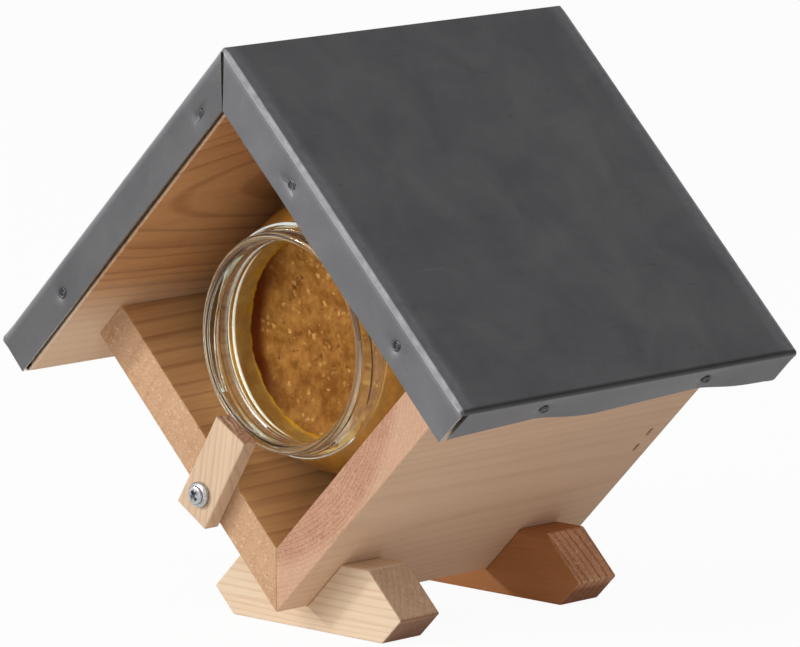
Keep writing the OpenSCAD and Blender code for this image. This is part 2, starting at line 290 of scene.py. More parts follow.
def place(obj: bpy.types.Object, body: Body, slot: Slot, *nodes: str) -> bpy.types.Object:
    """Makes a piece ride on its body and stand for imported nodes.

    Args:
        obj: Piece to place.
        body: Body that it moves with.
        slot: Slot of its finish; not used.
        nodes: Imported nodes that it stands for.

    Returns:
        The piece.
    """
    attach(obj, body.value)
    if nodes:
        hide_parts(*nodes)
    LOG.info("%s rides on %s, %d faces", obj.name, body.value, len(obj.data.polygons))
    return obj


def prism(outline: Sequence[Point], front: float, rear: float, edge: float) -> bmesh.types.BMesh:
    """Draws a prism along Y with eased edges.

    Args:
        outline: Corners of its section, as x and z.
        front: Place of its front face along Y.
        rear: Place of its rear face along Y.
        edge: Width of the easing along its edges.

    Returns:
        The mesh in millimetres.
    """
    bm = bmesh.new()
    ends = [[bm.verts.new((x, y, z)) for x, z in outline] for y in (front, rear)]
    for end in ends:
        bm.faces.new(end)
    count = len(outline)
    for i in range(count):
        j = (i + 1) % count
        bm.faces.new((ends[0][i], ends[0][j], ends[1][j], ends[1][i]))
    bmesh.ops.recalc_face_normals(bm, faces=bm.faces)
    bmesh.ops.bevel(bm, geom=bm.edges[:], offset=edge, segments=2, profile=0.5, affect="EDGES",
                    clamp_overlap=True)
    return bm


def lathe(profile: Sequence[Point], steps: int) -> bmesh.types.BMesh:
    """Turns a profile about the Y axis.

    Args:
        profile: Points as radius and distance along the axis.
        steps: Number of steps in a full turn.

    Returns:
        The mesh in millimetres; rings of no radius are merged when it becomes an object.
    """
    bm = bmesh.new()
    rings = []
    for step in range(steps):
        turn = math.tau * step / steps
        rings.append([bm.verts.new((r * math.cos(turn), y, r * math.sin(turn))) for r, y in profile])
    for step in range(steps):
        here, there = rings[step], rings[(step + 1) % steps]
        for i in range(len(profile) - 1):
            bm.faces.new((here[i], here[i + 1], there[i + 1], there[i]))
    return bm


def arc(centre: Point, radius: float, start: float, end: float, steps: int) -> list[Point]:
    """Points along an arc, from one angle to another in degrees."""
    turns = [math.radians(start + (end - start) * i / steps) for i in range(steps + 1)]
    return [(centre[0] + radius * math.cos(t), centre[1] + radius * math.sin(t)) for t in turns]


@dataclass(frozen=True)
class HouseSizes:
    """Main sizes of the house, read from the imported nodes.

    A place on its cross-section is given by s, down the slope from the outer ridge, and d, square to
    the slope and inwards.
    """

    top: float
    slope: float
    front: float
    rear: float
    board: float
    outer: float
    lift: float
    wall_front: float
    wall_rear: float

    @classmethod
    def from_frame(cls) -> "HouseSizes":
        """Reads the sizes from the boxes of the roof sheet, the right wall and the back panel."""
        sheet_low, sheet_high = in_mm(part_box("roof_sheet"))
        wall_low, wall_high = in_mm(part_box("right_wall"))
        back_low, back_high = in_mm(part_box("back_panel"))
        return cls(top=sheet_high.z, slope=sheet_high.x * ROOT2, front=sheet_low.y, rear=sheet_high.y,
                   board=back_high.y - back_low.y, outer=wall_high.x * ROOT2, lift=wall_low.z,
                   wall_front=wall_low.y, wall_rear=wall_high.y)

    @property
    def roof(self) -> float:
        """Thickness of a roof board and the sheet on it."""
        return (self.top - self.lift) / ROOT2 - self.outer

    @property
    def sheet(self) -> float:
        """Thickness of the metal sheet."""
        return self.roof - self.board

    @property
    def inner(self) -> float:
        """Side of the square tunnel inside the boards."""
        return self.outer - self.board

    def across(self, side: Side, s: float, d: float) -> Point:
        """Place on the cross-section, as x and z."""
        return side.value * (s - d) / ROOT2, self.top - (s + d) / ROOT2

    def on_wall(self, side: Side, up: float, deep: float, y: float) -> Place:
        """Place in a wall: up from the bottom of the V, deep from the outer face, at y."""
        far = self.roof + self.outer
        x, z = self.across(side, far - deep, far - up)
        return x, y, z


@dataclass(frozen=True)
class BareLarch:
    """Sawn larch with no coating.

    The saw leaves it dull. Long faces show pale early wood with brown late-wood lines along the
    grain. Cut ends show the rings as arcs and the speckle of open fibres. Sizes of patterns are given
    across and along the grain.
    """

    name: str
    early: str
    late: str
    end_pale: str
    end_dark: str
    grain: Place
    pith: Place
    ring_gap: float = 3.2
    contrast: float = 0.6
    end_rings: float = 0.4
    wander: float = 6.0
    drift_size: Point = (45.0, 170.0)
    fibre_size: Point = (0.42, 14.0)
    band_size: Point = (7.0, 120.0)
    pore_size: Point = (1.0, 4.0)
    pore: str = "#6B4630"
    pored: float = 0.34
    fleck: str = "#EBD0B0"
    flecked: float = 0.45
    # Colour of the painted shade on cut ends near the floor
    shade_colour: str = "#6A3108"
    sap: str = ""
    sap_from: float = 0.0
    sap_to: float = 0.0
    sap_share: float = 0.6
    # Height in mm below which cut ends get painted shade near the floor
    shade_height: float = 0.0
    sheen: float = 0.3

    def material(self) -> bpy.types.Material:
        """Makes the wood of one board, cut from a log whose centre line is at the pith."""
        material, add, shader = new_material(self.name)
        coords = add("ShaderNodeTexCoord").outputs
        turn = Vector(self.grain).rotation_difference(Vector((0, 1, 0)))
        log = add("ShaderNodeMapping", {
            "Vector": coords["Object"], "Scale": (1 / MM, 1 / MM, 1 / MM),
            "Rotation": turn.to_euler(), "Location": -(turn @ Vector(self.pith))})
        slow, fine, broad, cut = (
            add("ShaderNodeVectorMath", {0: log, 1: (1 / width, 1 / length, 1 / width)},
                operation="MULTIPLY")
            for width, length in (self.drift_size, self.fibre_size, self.band_size, self.pore_size))

        # Rings: distance from the pith, drifting slowly along and across the board
        drift = add("ShaderNodeTexNoise", {"Vector": slow, "Scale": 1.0})
        centred = add("ShaderNodeVectorMath", {0: drift.outputs["Color"], 1: (0.5, 0.5, 0.5)},
                      operation="SUBTRACT")
        pushed = add("ShaderNodeVectorMath", {0: centred, 1: (self.wander, 0, self.wander), 2: log},
                     operation="MULTIPLY_ADD")
        across = add("ShaderNodeVectorMath", {0: pushed, 1: (1, 0, 1)}, operation="MULTIPLY")
        radius = add("ShaderNodeVectorMath", {0: across}, operation="LENGTH")
        uneven = add("ShaderNodeTexNoise", {"W": radius, "Scale": 0.3}, noise_dimensions="1D")
        years = add("ShaderNodeMath", {0: radius, 1: 1 / self.ring_gap, 2: uneven},
                    operation="MULTIPLY_ADD")
        year = add("ShaderNodeMath", {0: years}, operation="FRACT")
        rise, fall = (add("ShaderNodeMapRange", {"Value": year, "From Min": start, "From Max": end},
                          interpolation_type="SMOOTHSTEP") for start, end in ((0.45, 0.86), (1.0, 0.84)))
        line = add("ShaderNodeMath", {0: rise, 1: fall}, operation="MULTIPLY")

        # Long faces and cut ends: a weighted sum of rings, fine fibres and broad bands for each
        fibre = add("ShaderNodeTexNoise", {"Vector": fine, "Scale": 1.0, "Detail": 3.0})
        band = add("ShaderNodeTexNoise", {"Vector": broad, "Scale": 1.0})
        broken = add("ShaderNodeMath", {0: line, 1: fibre}, operation="MULTIPLY")
        faces = []
        for base, weights, pale, dark in (
                (-0.45, ((line, self.contrast), (fibre, 0.5), (band, 0.6)), self.early, self.late),
                (-0.6, ((broken, 2 * self.end_rings), (fibre, 1.3), (band, 0.5)),
                 self.end_pale, self.end_dark)):
            level: Any = base
            for pattern, weight in weights:
                level = add("ShaderNodeMath", {0: pattern, 1: weight, 2: level}, operation="MULTIPLY_ADD")
            level.use_clamp = True
            faces.append(add("ShaderNodeMix", {FACTOR: level, FIRST: linear(pale), SECOND: linear(dark)},
                             data_type="RGBA"))
        facing = add("ShaderNodeVectorMath", {0: coords["Normal"], 1: self.grain}, operation="DOT_PRODUCT")
        square = add("ShaderNodeMath", {0: facing}, operation="ABSOLUTE")
        end = add("ShaderNodeMapRange", {"Value": square, "From Min": 0.3, "From Max": 0.95},
                  interpolation_type="SMOOTHSTEP")
        colour = add("ShaderNodeMix", {FACTOR: end, FIRST: faces[0], SECOND: faces[1]}, data_type="RGBA")

        # Open pores and pale flecks of torn fibre on cut ends
        pores = add("ShaderNodeTexNoise", {"Vector": cut, "Scale": 1.0, "Detail": 2.0, "Distortion": 0.8})
        pits, flecks = (
            add("ShaderNodeMapRange", {"Value": pores, "From Min": start, "From Max": full, "To Max": most})
            for start, full, most in ((0.6, 0.76, self.pored), (0.42, 0.28, self.flecked)))
        open_pits, torn = (add("ShaderNodeMath", {0: mark, 1: end}, operation="MULTIPLY")
                           for mark in (pits, flecks))
        stains = [(open_pits, self.pore), (torn, self.fleck)]

        # Pale sapwood far from the pith (on the roof boards partly painted light), and painted shade that
        # darkens cut ends towards the floor
        if self.sap:
            sappy = add("ShaderNodeMapRange", {"Value": radius, "From Min": self.sap_from,
                                               "From Max": self.sap_to, "To Max": self.sap_share},
                        interpolation_type="SMOOTHSTEP")
            stains.append((sappy, self.sap))
        if self.shade_height:
            height = add("ShaderNodeSeparateXYZ", {0: coords["Object"]}).outputs["Z"]
            wet = add("ShaderNodeMapRange", {"Value": height, "From Min": self.shade_height * MM,
                                             "From Max": 0.75 * self.shade_height * MM, "To Max": 0.95})
            drawn = add("ShaderNodeMath", {0: wet, 1: end}, operation="MULTIPLY")
            stains.append((drawn, self.shade_colour))
        for share, stain in stains:
            colour = add("ShaderNodeMix", {FACTOR: share, FIRST: colour, SECOND: linear(stain)},
                         data_type="RGBA")
        relief = add("ShaderNodeMath", {0: open_pits, 1: -1.5, 2: fibre}, operation="MULTIPLY_ADD")
        set_inputs(shader, {
            "Base Color": colour, "Specular IOR Level": self.sheen,
            "Roughness": add("ShaderNodeMapRange", {"Value": fibre, "To Min": 0.58, "To Max": 0.78}),
            "Normal": add("ShaderNodeBump", {"Height": relief, "Strength": 0.35, "Distance": 0.25 * MM})})
        return material


@dataclass(frozen=True)
class WeatheredZinc:
    """Zinc sheet with a dark grey patina, folded by hand.

    The patina is satin: a soft sheen with cloudy marks of handling and fine scratches. Along the front
    and rear folds it is painted paler, partly as worn metal and partly as a painted highlight. A dark
    line along the folds of the eaves is painted shade, and the flanges are painted darker as painted
    shade, the left one more. Sizes of scratches and scuffs are their width and length.
    """

    house: HouseSizes
    name: str = "weathered_zinc_sheet"
    dark: str = "#636366"
    pale: str = "#747476"
    # Worn metal and a painted highlight along the front and rear folds
    rubbed_and_lit: str = "#A8A8AB"
    # Colour of the dark scuffs, and of the painted shade along the eaves and on the flanges
    dirt_and_shade: str = "#2F2D2D"
    fold: float = 1.3
    # Painted shade on the flanges, the left one more
    flange_shade: float = 0.24
    left_flange_shade: float = 0.46
    smudge_size: float = 20.0
    mottle_size: float = 3.0
    nick_size: float = 2.2
    scratch_size: Point = (0.5, 18.0)
    scuff_size: Point = (0.9, 7.0)

    def material(self) -> bpy.types.Material:
        """Makes the patina with its smudges, scratches and worn folds."""
        material, add, shader = new_material(self.name)
        house = self.house
        coords = add("ShaderNodeTexCoord").outputs["Object"]
        cloud = add("ShaderNodeTexNoise", {"Vector": coords, "Scale": 1 / (self.smudge_size * MM),
                                           "Detail": 6.0, "Roughness": 0.6, "Distortion": 0.6})
        mottle, nicks = (
            add("ShaderNodeTexNoise", {"Vector": coords, "Scale": 1 / (size * MM), "Detail": 3.0})
            for size in (self.mottle_size, self.nick_size))
        streaks = []
        for turn, (width, length), detail, warp in (((0.2, 0.5, 0.6), self.scratch_size, 0.0, 0.0),
                                                    ((0.9, 0.2, -0.5), self.scuff_size, 2.0, 1.0)):
            askew = add("ShaderNodeMapping", {"Vector": coords, "Rotation": turn,
                                              "Scale": [1 / (x * MM) for x in (width, length, width)]})
            streaks.append(add("ShaderNodeTexNoise", {"Vector": askew, "Scale": 1.0, "Detail": detail,
                                                      "Distortion": warp}))
        lines, rubs, smudges = (
            add("ShaderNodeMapRange", {"Value": pattern, "From Min": start, "From Max": full,
                                       "To Max": most})
            for pattern, start, full, most in ((streaks[0], 0.76, 0.88, 0.5), (streaks[1], 0.66, 0.8, 0.34),
                                               (cloud, 0.35, 0.75, 1.0)))
        marks = add("ShaderNodeMath", {0: mottle, 1: 0.3, 2: smudges}, operation="MULTIPLY_ADD")
        worn = add("ShaderNodeMath", {0: marks, 1: lines}, operation="ADD", use_clamp=True)

        # Place on the sheet: down the slope, square to it, and along the ridge
        place_mm = add("ShaderNodeVectorMath", {0: coords, 1: (1 / MM, 1 / MM, 1 / MM)},
                       operation="MULTIPLY")
        spot = add("ShaderNodeSeparateXYZ", {0: place_mm}).outputs
        aside, along = (add("ShaderNodeMath", {0: spot[axis]}, operation="ABSOLUTE") for axis in ("X", "Y"))
        apart = add("ShaderNodeMath", {0: aside, 1: spot["Z"]}, operation="SUBTRACT")
        total = add("ShaderNodeMath", {0: aside, 1: spot["Z"]}, operation="ADD")
        down, deep = (
            add("ShaderNodeMath", {0: way, 1: slant, 2: house.top / ROOT2}, operation="MULTIPLY_ADD")
            for way, slant in ((apart, 1 / ROOT2), (total, -1 / ROOT2)))

        # Painted shade on the flanges and along the eaves; worn metal and a painted highlight along the
        # front and rear folds
        flange_shade_share = add("ShaderNodeMapRange", {"Value": spot["X"], "From Min": self.fold, "From Max": -self.fold,
                                          "To Min": self.flange_shade, "To Max": self.left_flange_shade})
        shallow, flange, eave, end, near = (
            add("ShaderNodeMapRange", {"Value": run, "From Min": base + first * self.fold,
                                       "From Max": base + last * self.fold, "To Max": most})
            for run, base, first, last, most in (
                (deep, 0, 1, 0.5, 1.0), (deep, 0, 1, 2, flange_shade_share), (down, house.slope, -1.3, -0.7, 0.8),
                (along, house.rear, -1.1, -0.7, 0.85), (along, house.rear, -5, -2, 0.3)))
        # Pale band along the front and rear folds, broken by nicks: partly wear, partly a painted highlight
        broken = add("ShaderNodeMapRange", {"Value": nicks, "From Min": 0.3, "From Max": 0.65,
                                            "To Min": 0.6, "To Max": 1.15})
        # Painted shade along the fold of each eave
        line = add("ShaderNodeMath", {0: eave, 1: shallow}, operation="MULTIPLY")
        painted_shade = add("ShaderNodeMath", {0: line, 1: flange}, operation="MAXIMUM")
        reach = add("ShaderNodeMath", {0: end, 1: near}, operation="MAXIMUM")
        fold = add("ShaderNodeMath", {0: reach, 1: shallow}, operation="MULTIPLY")
        bright = add("ShaderNodeMath", {0: fold, 1: broken}, operation="MULTIPLY", use_clamp=True)
        colour = linear(self.dark)
        for share, tone in ((worn, self.pale), (rubs, self.dirt_and_shade), (bright, self.rubbed_and_lit),
                            (painted_shade, self.dirt_and_shade)):
            colour = add("ShaderNodeMix", {FACTOR: share, FIRST: colour, SECOND: linear(tone)},
                         data_type="RGBA")
        set_inputs(shader, {
            "Base Color": colour, "Metallic": 0.6,
            "Roughness": add("ShaderNodeMapRange", {"Value": cloud, "To Min": 0.38, "To Max": 0.54}),
            "Normal": add("ShaderNodeBump", {"Height": mottle, "Strength": 0.06, "Distance": 0.2 * MM})})
        return material


@dataclass(frozen=True)
class BrightMetal:
    """Bare or plated metal: a clear grey shine with faint stains and a fine grain."""

    name: str
    pale: str
    stain: str
    roughness: float
    grain: float = 0.8

    def material(self) -> bpy.types.Material:
        """Makes the metal, stained a little in patches."""
        material, add, shader = new_material(self.name)
        coords = add("ShaderNodeTexCoord").outputs["Object"]
        patches = add("ShaderNodeTexNoise", {"Vector": coords, "Scale": 1 / (self.grain * MM),
                                             "Detail": 4.0})
        stained = add("ShaderNodeMapRange", {"Value": patches, "From Min": 0.45, "From Max": 0.8})
        colour = add("ShaderNodeMix", {FACTOR: stained, FIRST: linear(self.pale),
                                       SECOND: linear(self.stain)}, data_type="RGBA")
        rough = add("ShaderNodeMapRange", {"Value": patches, "To Min": self.roughness * 0.7,
                                           "To Max": self.roughness * 1.3})
        set_inputs(shader, {"Base Color": colour, "Roughness": rough, "Metallic": 1.0})
        return material


@dataclass(frozen=True)
class JarGlass:
    """Pressed soda-lime glass: clear, with a green tinge where it is thick, and faintly uneven."""

    name: str = "soda_lime_jar_glass"
    tint: str = "#F3FAF5"
    ripple: float = 9.0

    def material(self) -> bpy.types.Material:
        """Makes the glass; lamps shine straight through it, so that what it holds is lit."""
        material, add, shader = new_material(self.name)
        coords = add("ShaderNodeTexCoord").outputs["Object"]
        uneven = add("ShaderNodeTexNoise", {"Vector": coords, "Scale": 1 / (self.ripple * MM),
                                            "Detail": 1.0})
        set_inputs(shader, {
            "Base Color": linear(self.tint), "Transmission Weight": 1.0, "Roughness": 0.01, "IOR": 1.52,
            "Normal": add("ShaderNodeBump", {"Height": uneven, "Strength": 0.05, "Distance": 0.3 * MM})})
        clear = add("ShaderNodeBsdfTransparent", {"Color": linear(self.tint)})
        glass = add("ShaderNodeMixShader", {0: add("ShaderNodeLightPath").outputs["Is Shadow Ray"],
                                            1: shader, 2: clear})
        set_inputs(material.node_tree.nodes["Material Output"], {"Surface": glass})
        return material


@dataclass(frozen=True)
class NutPaste:
    """Ground peanut butter: brown, oily and grainy, with pale and dark grains of all sizes.

    The bore that the spoon left is smeared smooth and amber with oil. Along its left edge the paste is
    painted dark as painted shadow of the bore's wall, and a pale line where the oil ends on the left is
    a painted highlight. Against the glass the paste is plain.
    """

    axis_height: float
    bore: float
    edge_y: float
    name: str = "ground_peanut_butter"
    paste: str = "#7D4D1B"
    light: str = "#A67236"
    oil: str = "#C29C56"
    pressed: str = "#DA9740"
    # Painted shadow along the bore's left edge
    left_shadow: str = "#501C00"
    amber: str = "#C8921E"
    # Colour of the painted highlight where the oil ends
    rim: str = "#F6F1E8"
    pale_grain: str = "#C09250"
    dark_grain: str = "#5E3010"
    grain: float = 1.9
    spot: float = 2.8
    lump: float = 4.2
    tear: float = 1.1
    ragged_size: float = 3.5
    relief_size: float = 0.9

    def material(self) -> bpy.types.Material:
        """Makes the paste with its grains."""
        material, add, shader = new_material(self.name)
        coords = add("ShaderNodeTexCoord").outputs["Object"]
        lumps = add("ShaderNodeTexNoise", {"Vector": coords, "Scale": 1 / (self.lump * MM), "Detail": 5.0,
                                           "Roughness": 0.65})
        torn, ragged, relief = (
            add("ShaderNodeTexNoise", {"Vector": coords, "Scale": 1 / (size * MM), "Detail": detail})
            for size, detail in ((self.tear, 2.0), (self.ragged_size, 2.0), (self.relief_size, 3.0)))
        patches = add("ShaderNodeMapRange", {"Value": lumps, "From Min": 0.36, "From Max": 0.64})
        tone = add("ShaderNodeMix", {FACTOR: patches, FIRST: linear(self.paste),
                                     SECOND: linear(self.light)}, data_type="RGBA")

        # Pale grains, then larger dark ones: cells of torn outline, drawn by lot
        askew = add("ShaderNodeVectorMath", {0: torn.outputs["Color"], 1: [1.6 * self.tear * MM] * 3,
                                             2: coords}, operation="MULTIPLY_ADD")
        colour = tone
        for size, tint, (edge, core), most, lot, (least, sure) in (
                (self.grain, self.pale_grain, (0.45, 0.2), 1.0, 0, (0.7, 0.9)),
                (self.spot, self.dark_grain, (0.4, 0.1), 0.8, 1, (0.68, 0.82))):
            cells = add("ShaderNodeTexVoronoi", {"Vector": askew, "Scale": 1 / (size * MM)})
            drawn = add("ShaderNodeSeparateColor", {0: cells.outputs["Color"]}).outputs[lot]
            speck = add("ShaderNodeMapRange", {"Value": cells.outputs["Distance"], "From Min": edge,
                                               "From Max": core, "To Max": most})
            chosen = add("ShaderNodeMapRange", {"Value": drawn, "From Min": least, "From Max": sure})
            share = add("ShaderNodeMath", {0: speck, 1: chosen}, operation="MULTIPLY")
            colour = add("ShaderNodeMix", {FACTOR: share, FIRST: colour, SECOND: linear(tint)},
                         data_type="RGBA")

        # Away from the axis: the grainy surface, the oily bore, then paste pressed against the glass
        off_axis = add("ShaderNodeVectorMath", {0: coords, 1: (1 / MM, 0, 1 / MM),
                                                2: (0, 0, -self.axis_height)}, operation="MULTIPLY_ADD")
        even = add("ShaderNodeVectorMath", {0: off_axis}, operation="LENGTH")
        uneven = add("ShaderNodeMapRange", {"Value": ragged, "To Min": -0.7, "To Max": 0.7})
        radius = add("ShaderNodeMath", {0: even, 1: uneven}, operation="ADD")
        aside = add("ShaderNodeSeparateXYZ", {0: off_axis}).outputs["X"]
        wet, outer, shore = (
            add("ShaderNodeMapRange", {"Value": radius, "From Min": self.bore + start,
                                       "From Max": self.bore + full})
            for start, full in ((-0.6, -0.1), (0.8, 1.2), (-1.3, -0.8)))
        left, brink = (
            # Painted shadow of the bore's wall: the paste darkens along the bore's left edge
            add("ShaderNodeMapRange", {"Value": run, "From Min": start, "From Max": full},
                interpolation_type="SMOOTHSTEP")
            for run, start, full in ((aside, -0.4 * self.bore, -0.85 * self.bore),
                                     (radius, self.bore - 7.5, self.bore - 3.0)))
        painted_shadow = add("ShaderNodeMath", {0: left, 1: brink}, operation="MULTIPLY")
        # Painted highlight: a pale line where the oil ends, on the left side only
        highlight_side = add("ShaderNodeMapRange", {"Value": aside, "From Min": 0.1 * self.bore,
                                             "From Max": -0.3 * self.bore, "To Max": 0.95})
        behind = add("ShaderNodeSeparateXYZ", {0: coords}).outputs["Y"]
        highlight_line = add("ShaderNodeMapRange", {"Value": behind, "From Min": (self.edge_y + 0.6) * MM,
                                           "From Max": (self.edge_y + 0.4) * MM, "To Max": highlight_side})
        smear = add("ShaderNodeMix", {FACTOR: outer, FIRST: linear(self.oil), SECOND: linear(self.pressed)},
                    data_type="RGBA")
        streaks = add("ShaderNodeMix", {FACTOR: patches, FIRST: smear, SECOND: tone}, data_type="RGBA")
        part = add("ShaderNodeMix", {FACTOR: 0.55, FIRST: smear, SECOND: streaks}, data_type="RGBA")
        for share, over in ((painted_shadow, linear(self.left_shadow)), (shore, linear(self.amber)), (wet, part),
                            (highlight_line, linear(self.rim))):
            colour = add("ShaderNodeMix", {FACTOR: share, FIRST: colour, SECOND: over}, data_type="RGBA")
        set_inputs(shader, {
            "Base Color": colour, "Specular IOR Level": 0.05,
            "Normal": add("ShaderNodeBump", {"Height": relief, "Strength": 0.5, "Distance": 0.5 * MM}),
            "Roughness": add("ShaderNodeMapRange", {"Value": wet, "To Min": 0.55, "To Max": 0.28})})
        return material


@dataclass(frozen=True)
class NutGrain:
    """Broken nut or its skin: a matt crumb, mottled from crumb to crumb."""

    name: str
    light: str
    dark: str
    spread: float = 2.0

    def material(self) -> bpy.types.Material:
        """Makes the crumbs, paler and darker by place."""
        material, add, shader = new_material(self.name)
        coords = add("ShaderNodeTexCoord").outputs["Object"]
        mottle = add("ShaderNodeTexNoise", {"Vector": coords, "Scale": 1 / (self.spread * MM)})
        colour = add("ShaderNodeMix", {FACTOR: mottle, FIRST: linear(self.light),
                                       SECOND: linear(self.dark)}, data_type="RGBA")
        set_inputs(shader, {"Base Color": colour, "Roughness": 0.55, "Specular IOR Level": 0.25})
        return material


@dataclass(frozen=True)
class StudioPaper:
    """White studio paper: plain and bright to the camera, but it still takes the shadow."""

    name: str = "white_studio_paper"
    white: str = "#F4F4F4"
    glow: float = 0.95
    sheen: float = 0.7

    def material(self) -> bpy.types.Material:
        """Makes the paper, which glows white to the camera and less in gloss."""
        material, add, shader = new_material(self.name)
        set_inputs(shader, {"Base Color": linear(self.white), "Roughness": 1.0,
                                  "Specular IOR Level": 0.0})
        rays = add("ShaderNodeLightPath").outputs
        gloss = add("ShaderNodeMath", {0: rays["Is Glossy Ray"], 1: self.sheen}, operation="MULTIPLY")
        share = add("ShaderNodeMath", {0: rays["Is Camera Ray"], 1: self.glow, 2: gloss},
                    operation="MULTIPLY_ADD")
        paper = add("ShaderNodeMixShader", {0: share, 1: shader, 2: add("ShaderNodeEmission")})
        set_inputs(material.node_tree.nodes["Material Output"], {"Surface": paper})
        return material


@dataclass
class WoodenHouse:
    """The boards: two walls in a V, two roof boards, a back panel and two cross feet."""

    house: HouseSizes
    nails: dict[Side, list[tuple[Vector, Vector]]]
    edge: float = 0.35
    foot_edge: float = 0.5
    eave_gap: dict[Side, float] = field(default_factory=lambda: {Side.LEFT: 0.7, Side.RIGHT: 2.0})
    end_gap: float = 0.8
    ridge_gap: float = 0.15
    ridge_opening: float = 2.4
    roof_pith: Point = (48.0, 30.0)
    rebate: float = 1.8
    rebate_lip: float = 0.85
    overcut: float = 1.0
    cutter_edge: float = 0.01
    pit_radius: float = 3.8
    pit_depth: float = 1.5
    brad_head: float = 3.3
    brad_width: float = 1.3
    brad_sink: float = 0.5
    back_brad_ups: tuple[float, float] = (51.0, 58.0)
    v_brad_inset: float = 14.0
    foot_screw_x: float = 7.0
    screw_hole: float = 5.7
    screw_sink: float = 0.35
    foot_tip: float = 7.2

    def build(self) -> None:
        """Builds and dresses every board."""
        for side in Side:
            self.roof_board(side)
            self.wall(side)
        self.back_panel()
        self.foot("front_foot", BareLarch(
            "front_foot_larch", "#E2CDB2", "#C8A584", "#C09C80", "#87624A", (1, 0.03, 0.02), (0, -60, 40),
            ring_gap=1.7, contrast=0.36, end_rings=0.15, shade_height=8.0, sheen=0.1))
        self.foot("rear_foot", BareLarch(
            "rear_foot_larch", "#B47C50", "#8C542F", "#DCAA86", "#8C5842", (1, -0.02, 0.03), (0, -26, 6),
            ring_gap=2.7, contrast=0.4, end_rings=0.5, shade_height=6.0, sheen=0.1))

    def roof_board(self, side: Side) -> None:
        """Builds one roof board: mitred at the ridge, dented at the nails and rebated for the flanges."""
        house = self.house
        end = house.slope - house.sheet - self.eave_gap[side]
        corners = [(house.roof + self.ridge_gap, house.roof), (end, house.roof), (end, house.sheet),
                   (house.sheet + self.ridge_opening, house.sheet)]
        name = f"{side.name.lower()}_roof_board"
        x, z = house.across(side, self.roof_pith[0], house.roof + self.roof_pith[1])
        # The pale sapwood also stands in for light thrown up from the floor onto the underside: partly
        # painted light
        wood = BareLarch(f"{name}_larch", "#CB9662", "#925C36", "#DDB896", "#B08562",
                         (0.05 * side.value, 1, 0.09), (x, 0, z), ring_gap=2.9, contrast=0.42, wander=7.0,
                         sap_from=46, sap_to=68, sap="#F4DEC3")
        front, rear = house.front + house.sheet + self.end_gap, house.rear - house.sheet - self.end_gap
        bm = prism([house.across(side, s, d) for s, d in corners], front, rear, self.edge)
        board = object_from(bm, f"{name}_larch", wood.material())
        cones = bmesh.new()
        for at, out in self.nails[side]:
            turn = out.to_track_quat("Z", "Y").to_matrix().to_4x4()
            bmesh.ops.create_cone(cones, cap_ends=True, segments=24, radius1=0, radius2=2 * self.pit_radius,
                                  depth=2 * self.pit_depth, matrix=Matrix.Translation(at) @ turn)
        join_shapes(board, object_from(cones, "nail_pits"), "DIFFERENCE")
        lip = house.roof - self.rebate_lip
        past, well_past = self.overcut, 5 * self.overcut
        strip = [house.across(side, s, d) for s, d in ((-past, -past), (end + well_past, -past),
                                                       (end + well_past, lip), (lip - well_past, lip))]
        for near, far in ((front - past, front + self.rebate), (rear - self.rebate, rear + past)):
            cutter = object_from(prism(strip, near, far, self.cutter_edge), "flange_rebate")
            join_shapes(board, cutter, "DIFFERENCE")
        place(board, Body.HOUSE, Slot.ROOF_WOOD, name)

    def wall(self, side: Side) -> None:
        """Builds one wall, with the slots of the brads that show on its outer face."""
        house = self.house
        far, near = house.roof + house.outer, house.roof + house.inner
        corners = [(near, house.roof), (far, house.roof), (far, far), (near, near)]
        name = f"{side.name.lower()}_wall"
        if side is Side.RIGHT:
            wood = BareLarch("right_wall_larch", "#DFBD9F", "#B48A6A", "#C4987B", "#98664E",
                             (0.02, 1, 0.03), house.on_wall(side, 42, 66, 0), ring_gap=1.2,
                             contrast=0.24, end_rings=0.32, wander=5.0, flecked=0.22, sap="#D2AE90",
                             sap_from=62, sap_to=67, sap_share=0.5)
        else:
            wood = BareLarch("left_wall_larch", "#D6A672", "#905D35", "#CCA581", "#A27755",
                             (-0.02, 1, 0.015), house.on_wall(side, -70, 30, 0), ring_gap=5.2,
                             contrast=0.36, end_rings=0.12)
        bm = prism([house.across(side, s, d) for s, d in corners], house.wall_front, house.wall_rear,
                   self.edge)
        wall = object_from(bm, f"{name}_larch", wood.material())
        brad_y = house.wall_rear - house.board / 2
        for up in self.back_brad_ups:
            self.cut_brad_slot(wall, house.on_wall(side, up, 0, brad_y), side, along_grain=False)
        if side is Side.LEFT:
            _, front_foot = in_mm(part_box("front_foot"))
            rear_foot, _ = in_mm(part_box("rear_foot"))
            for y in (front_foot.y + self.v_brad_inset, rear_foot.y - self.v_brad_inset):
                self.cut_brad_slot(wall, house.on_wall(side, house.board / 2, 0, y), side, along_grain=True)
        place(wall, Body.HOUSE, Slot.WALL_WOOD, name)

    def cut_brad_slot(self, wall: bpy.types.Object, at: Place, side: Side, along_grain: bool) -> None:
        """Cuts the slot of a sunk brad into the outer face of a wall.

        Args:
            wall: Wall to cut.
            at: Middle of the slot on the face.
            side: Side of the house that the face is on.
            along_grain: Whether the slot runs along Y or up the wall.
        """
        length, width = self.brad_head, self.brad_width
        if along_grain:
            length, width = width, length
        bm = bmesh.new()
        bmesh.ops.create_cube(bm, size=1)
        bmesh.ops.scale(bm, vec=(2 * self.brad_sink, width, length), verts=bm.verts)
        bmesh.ops.rotate(bm, matrix=Matrix.Rotation(math.radians(45 * side.value), 3, "Y"), verts=bm.verts)
        bmesh.ops.translate(bm, vec=at, verts=bm.verts)
        join_shapes(wall, object_from(bm, "brad_slot"), "DIFFERENCE")

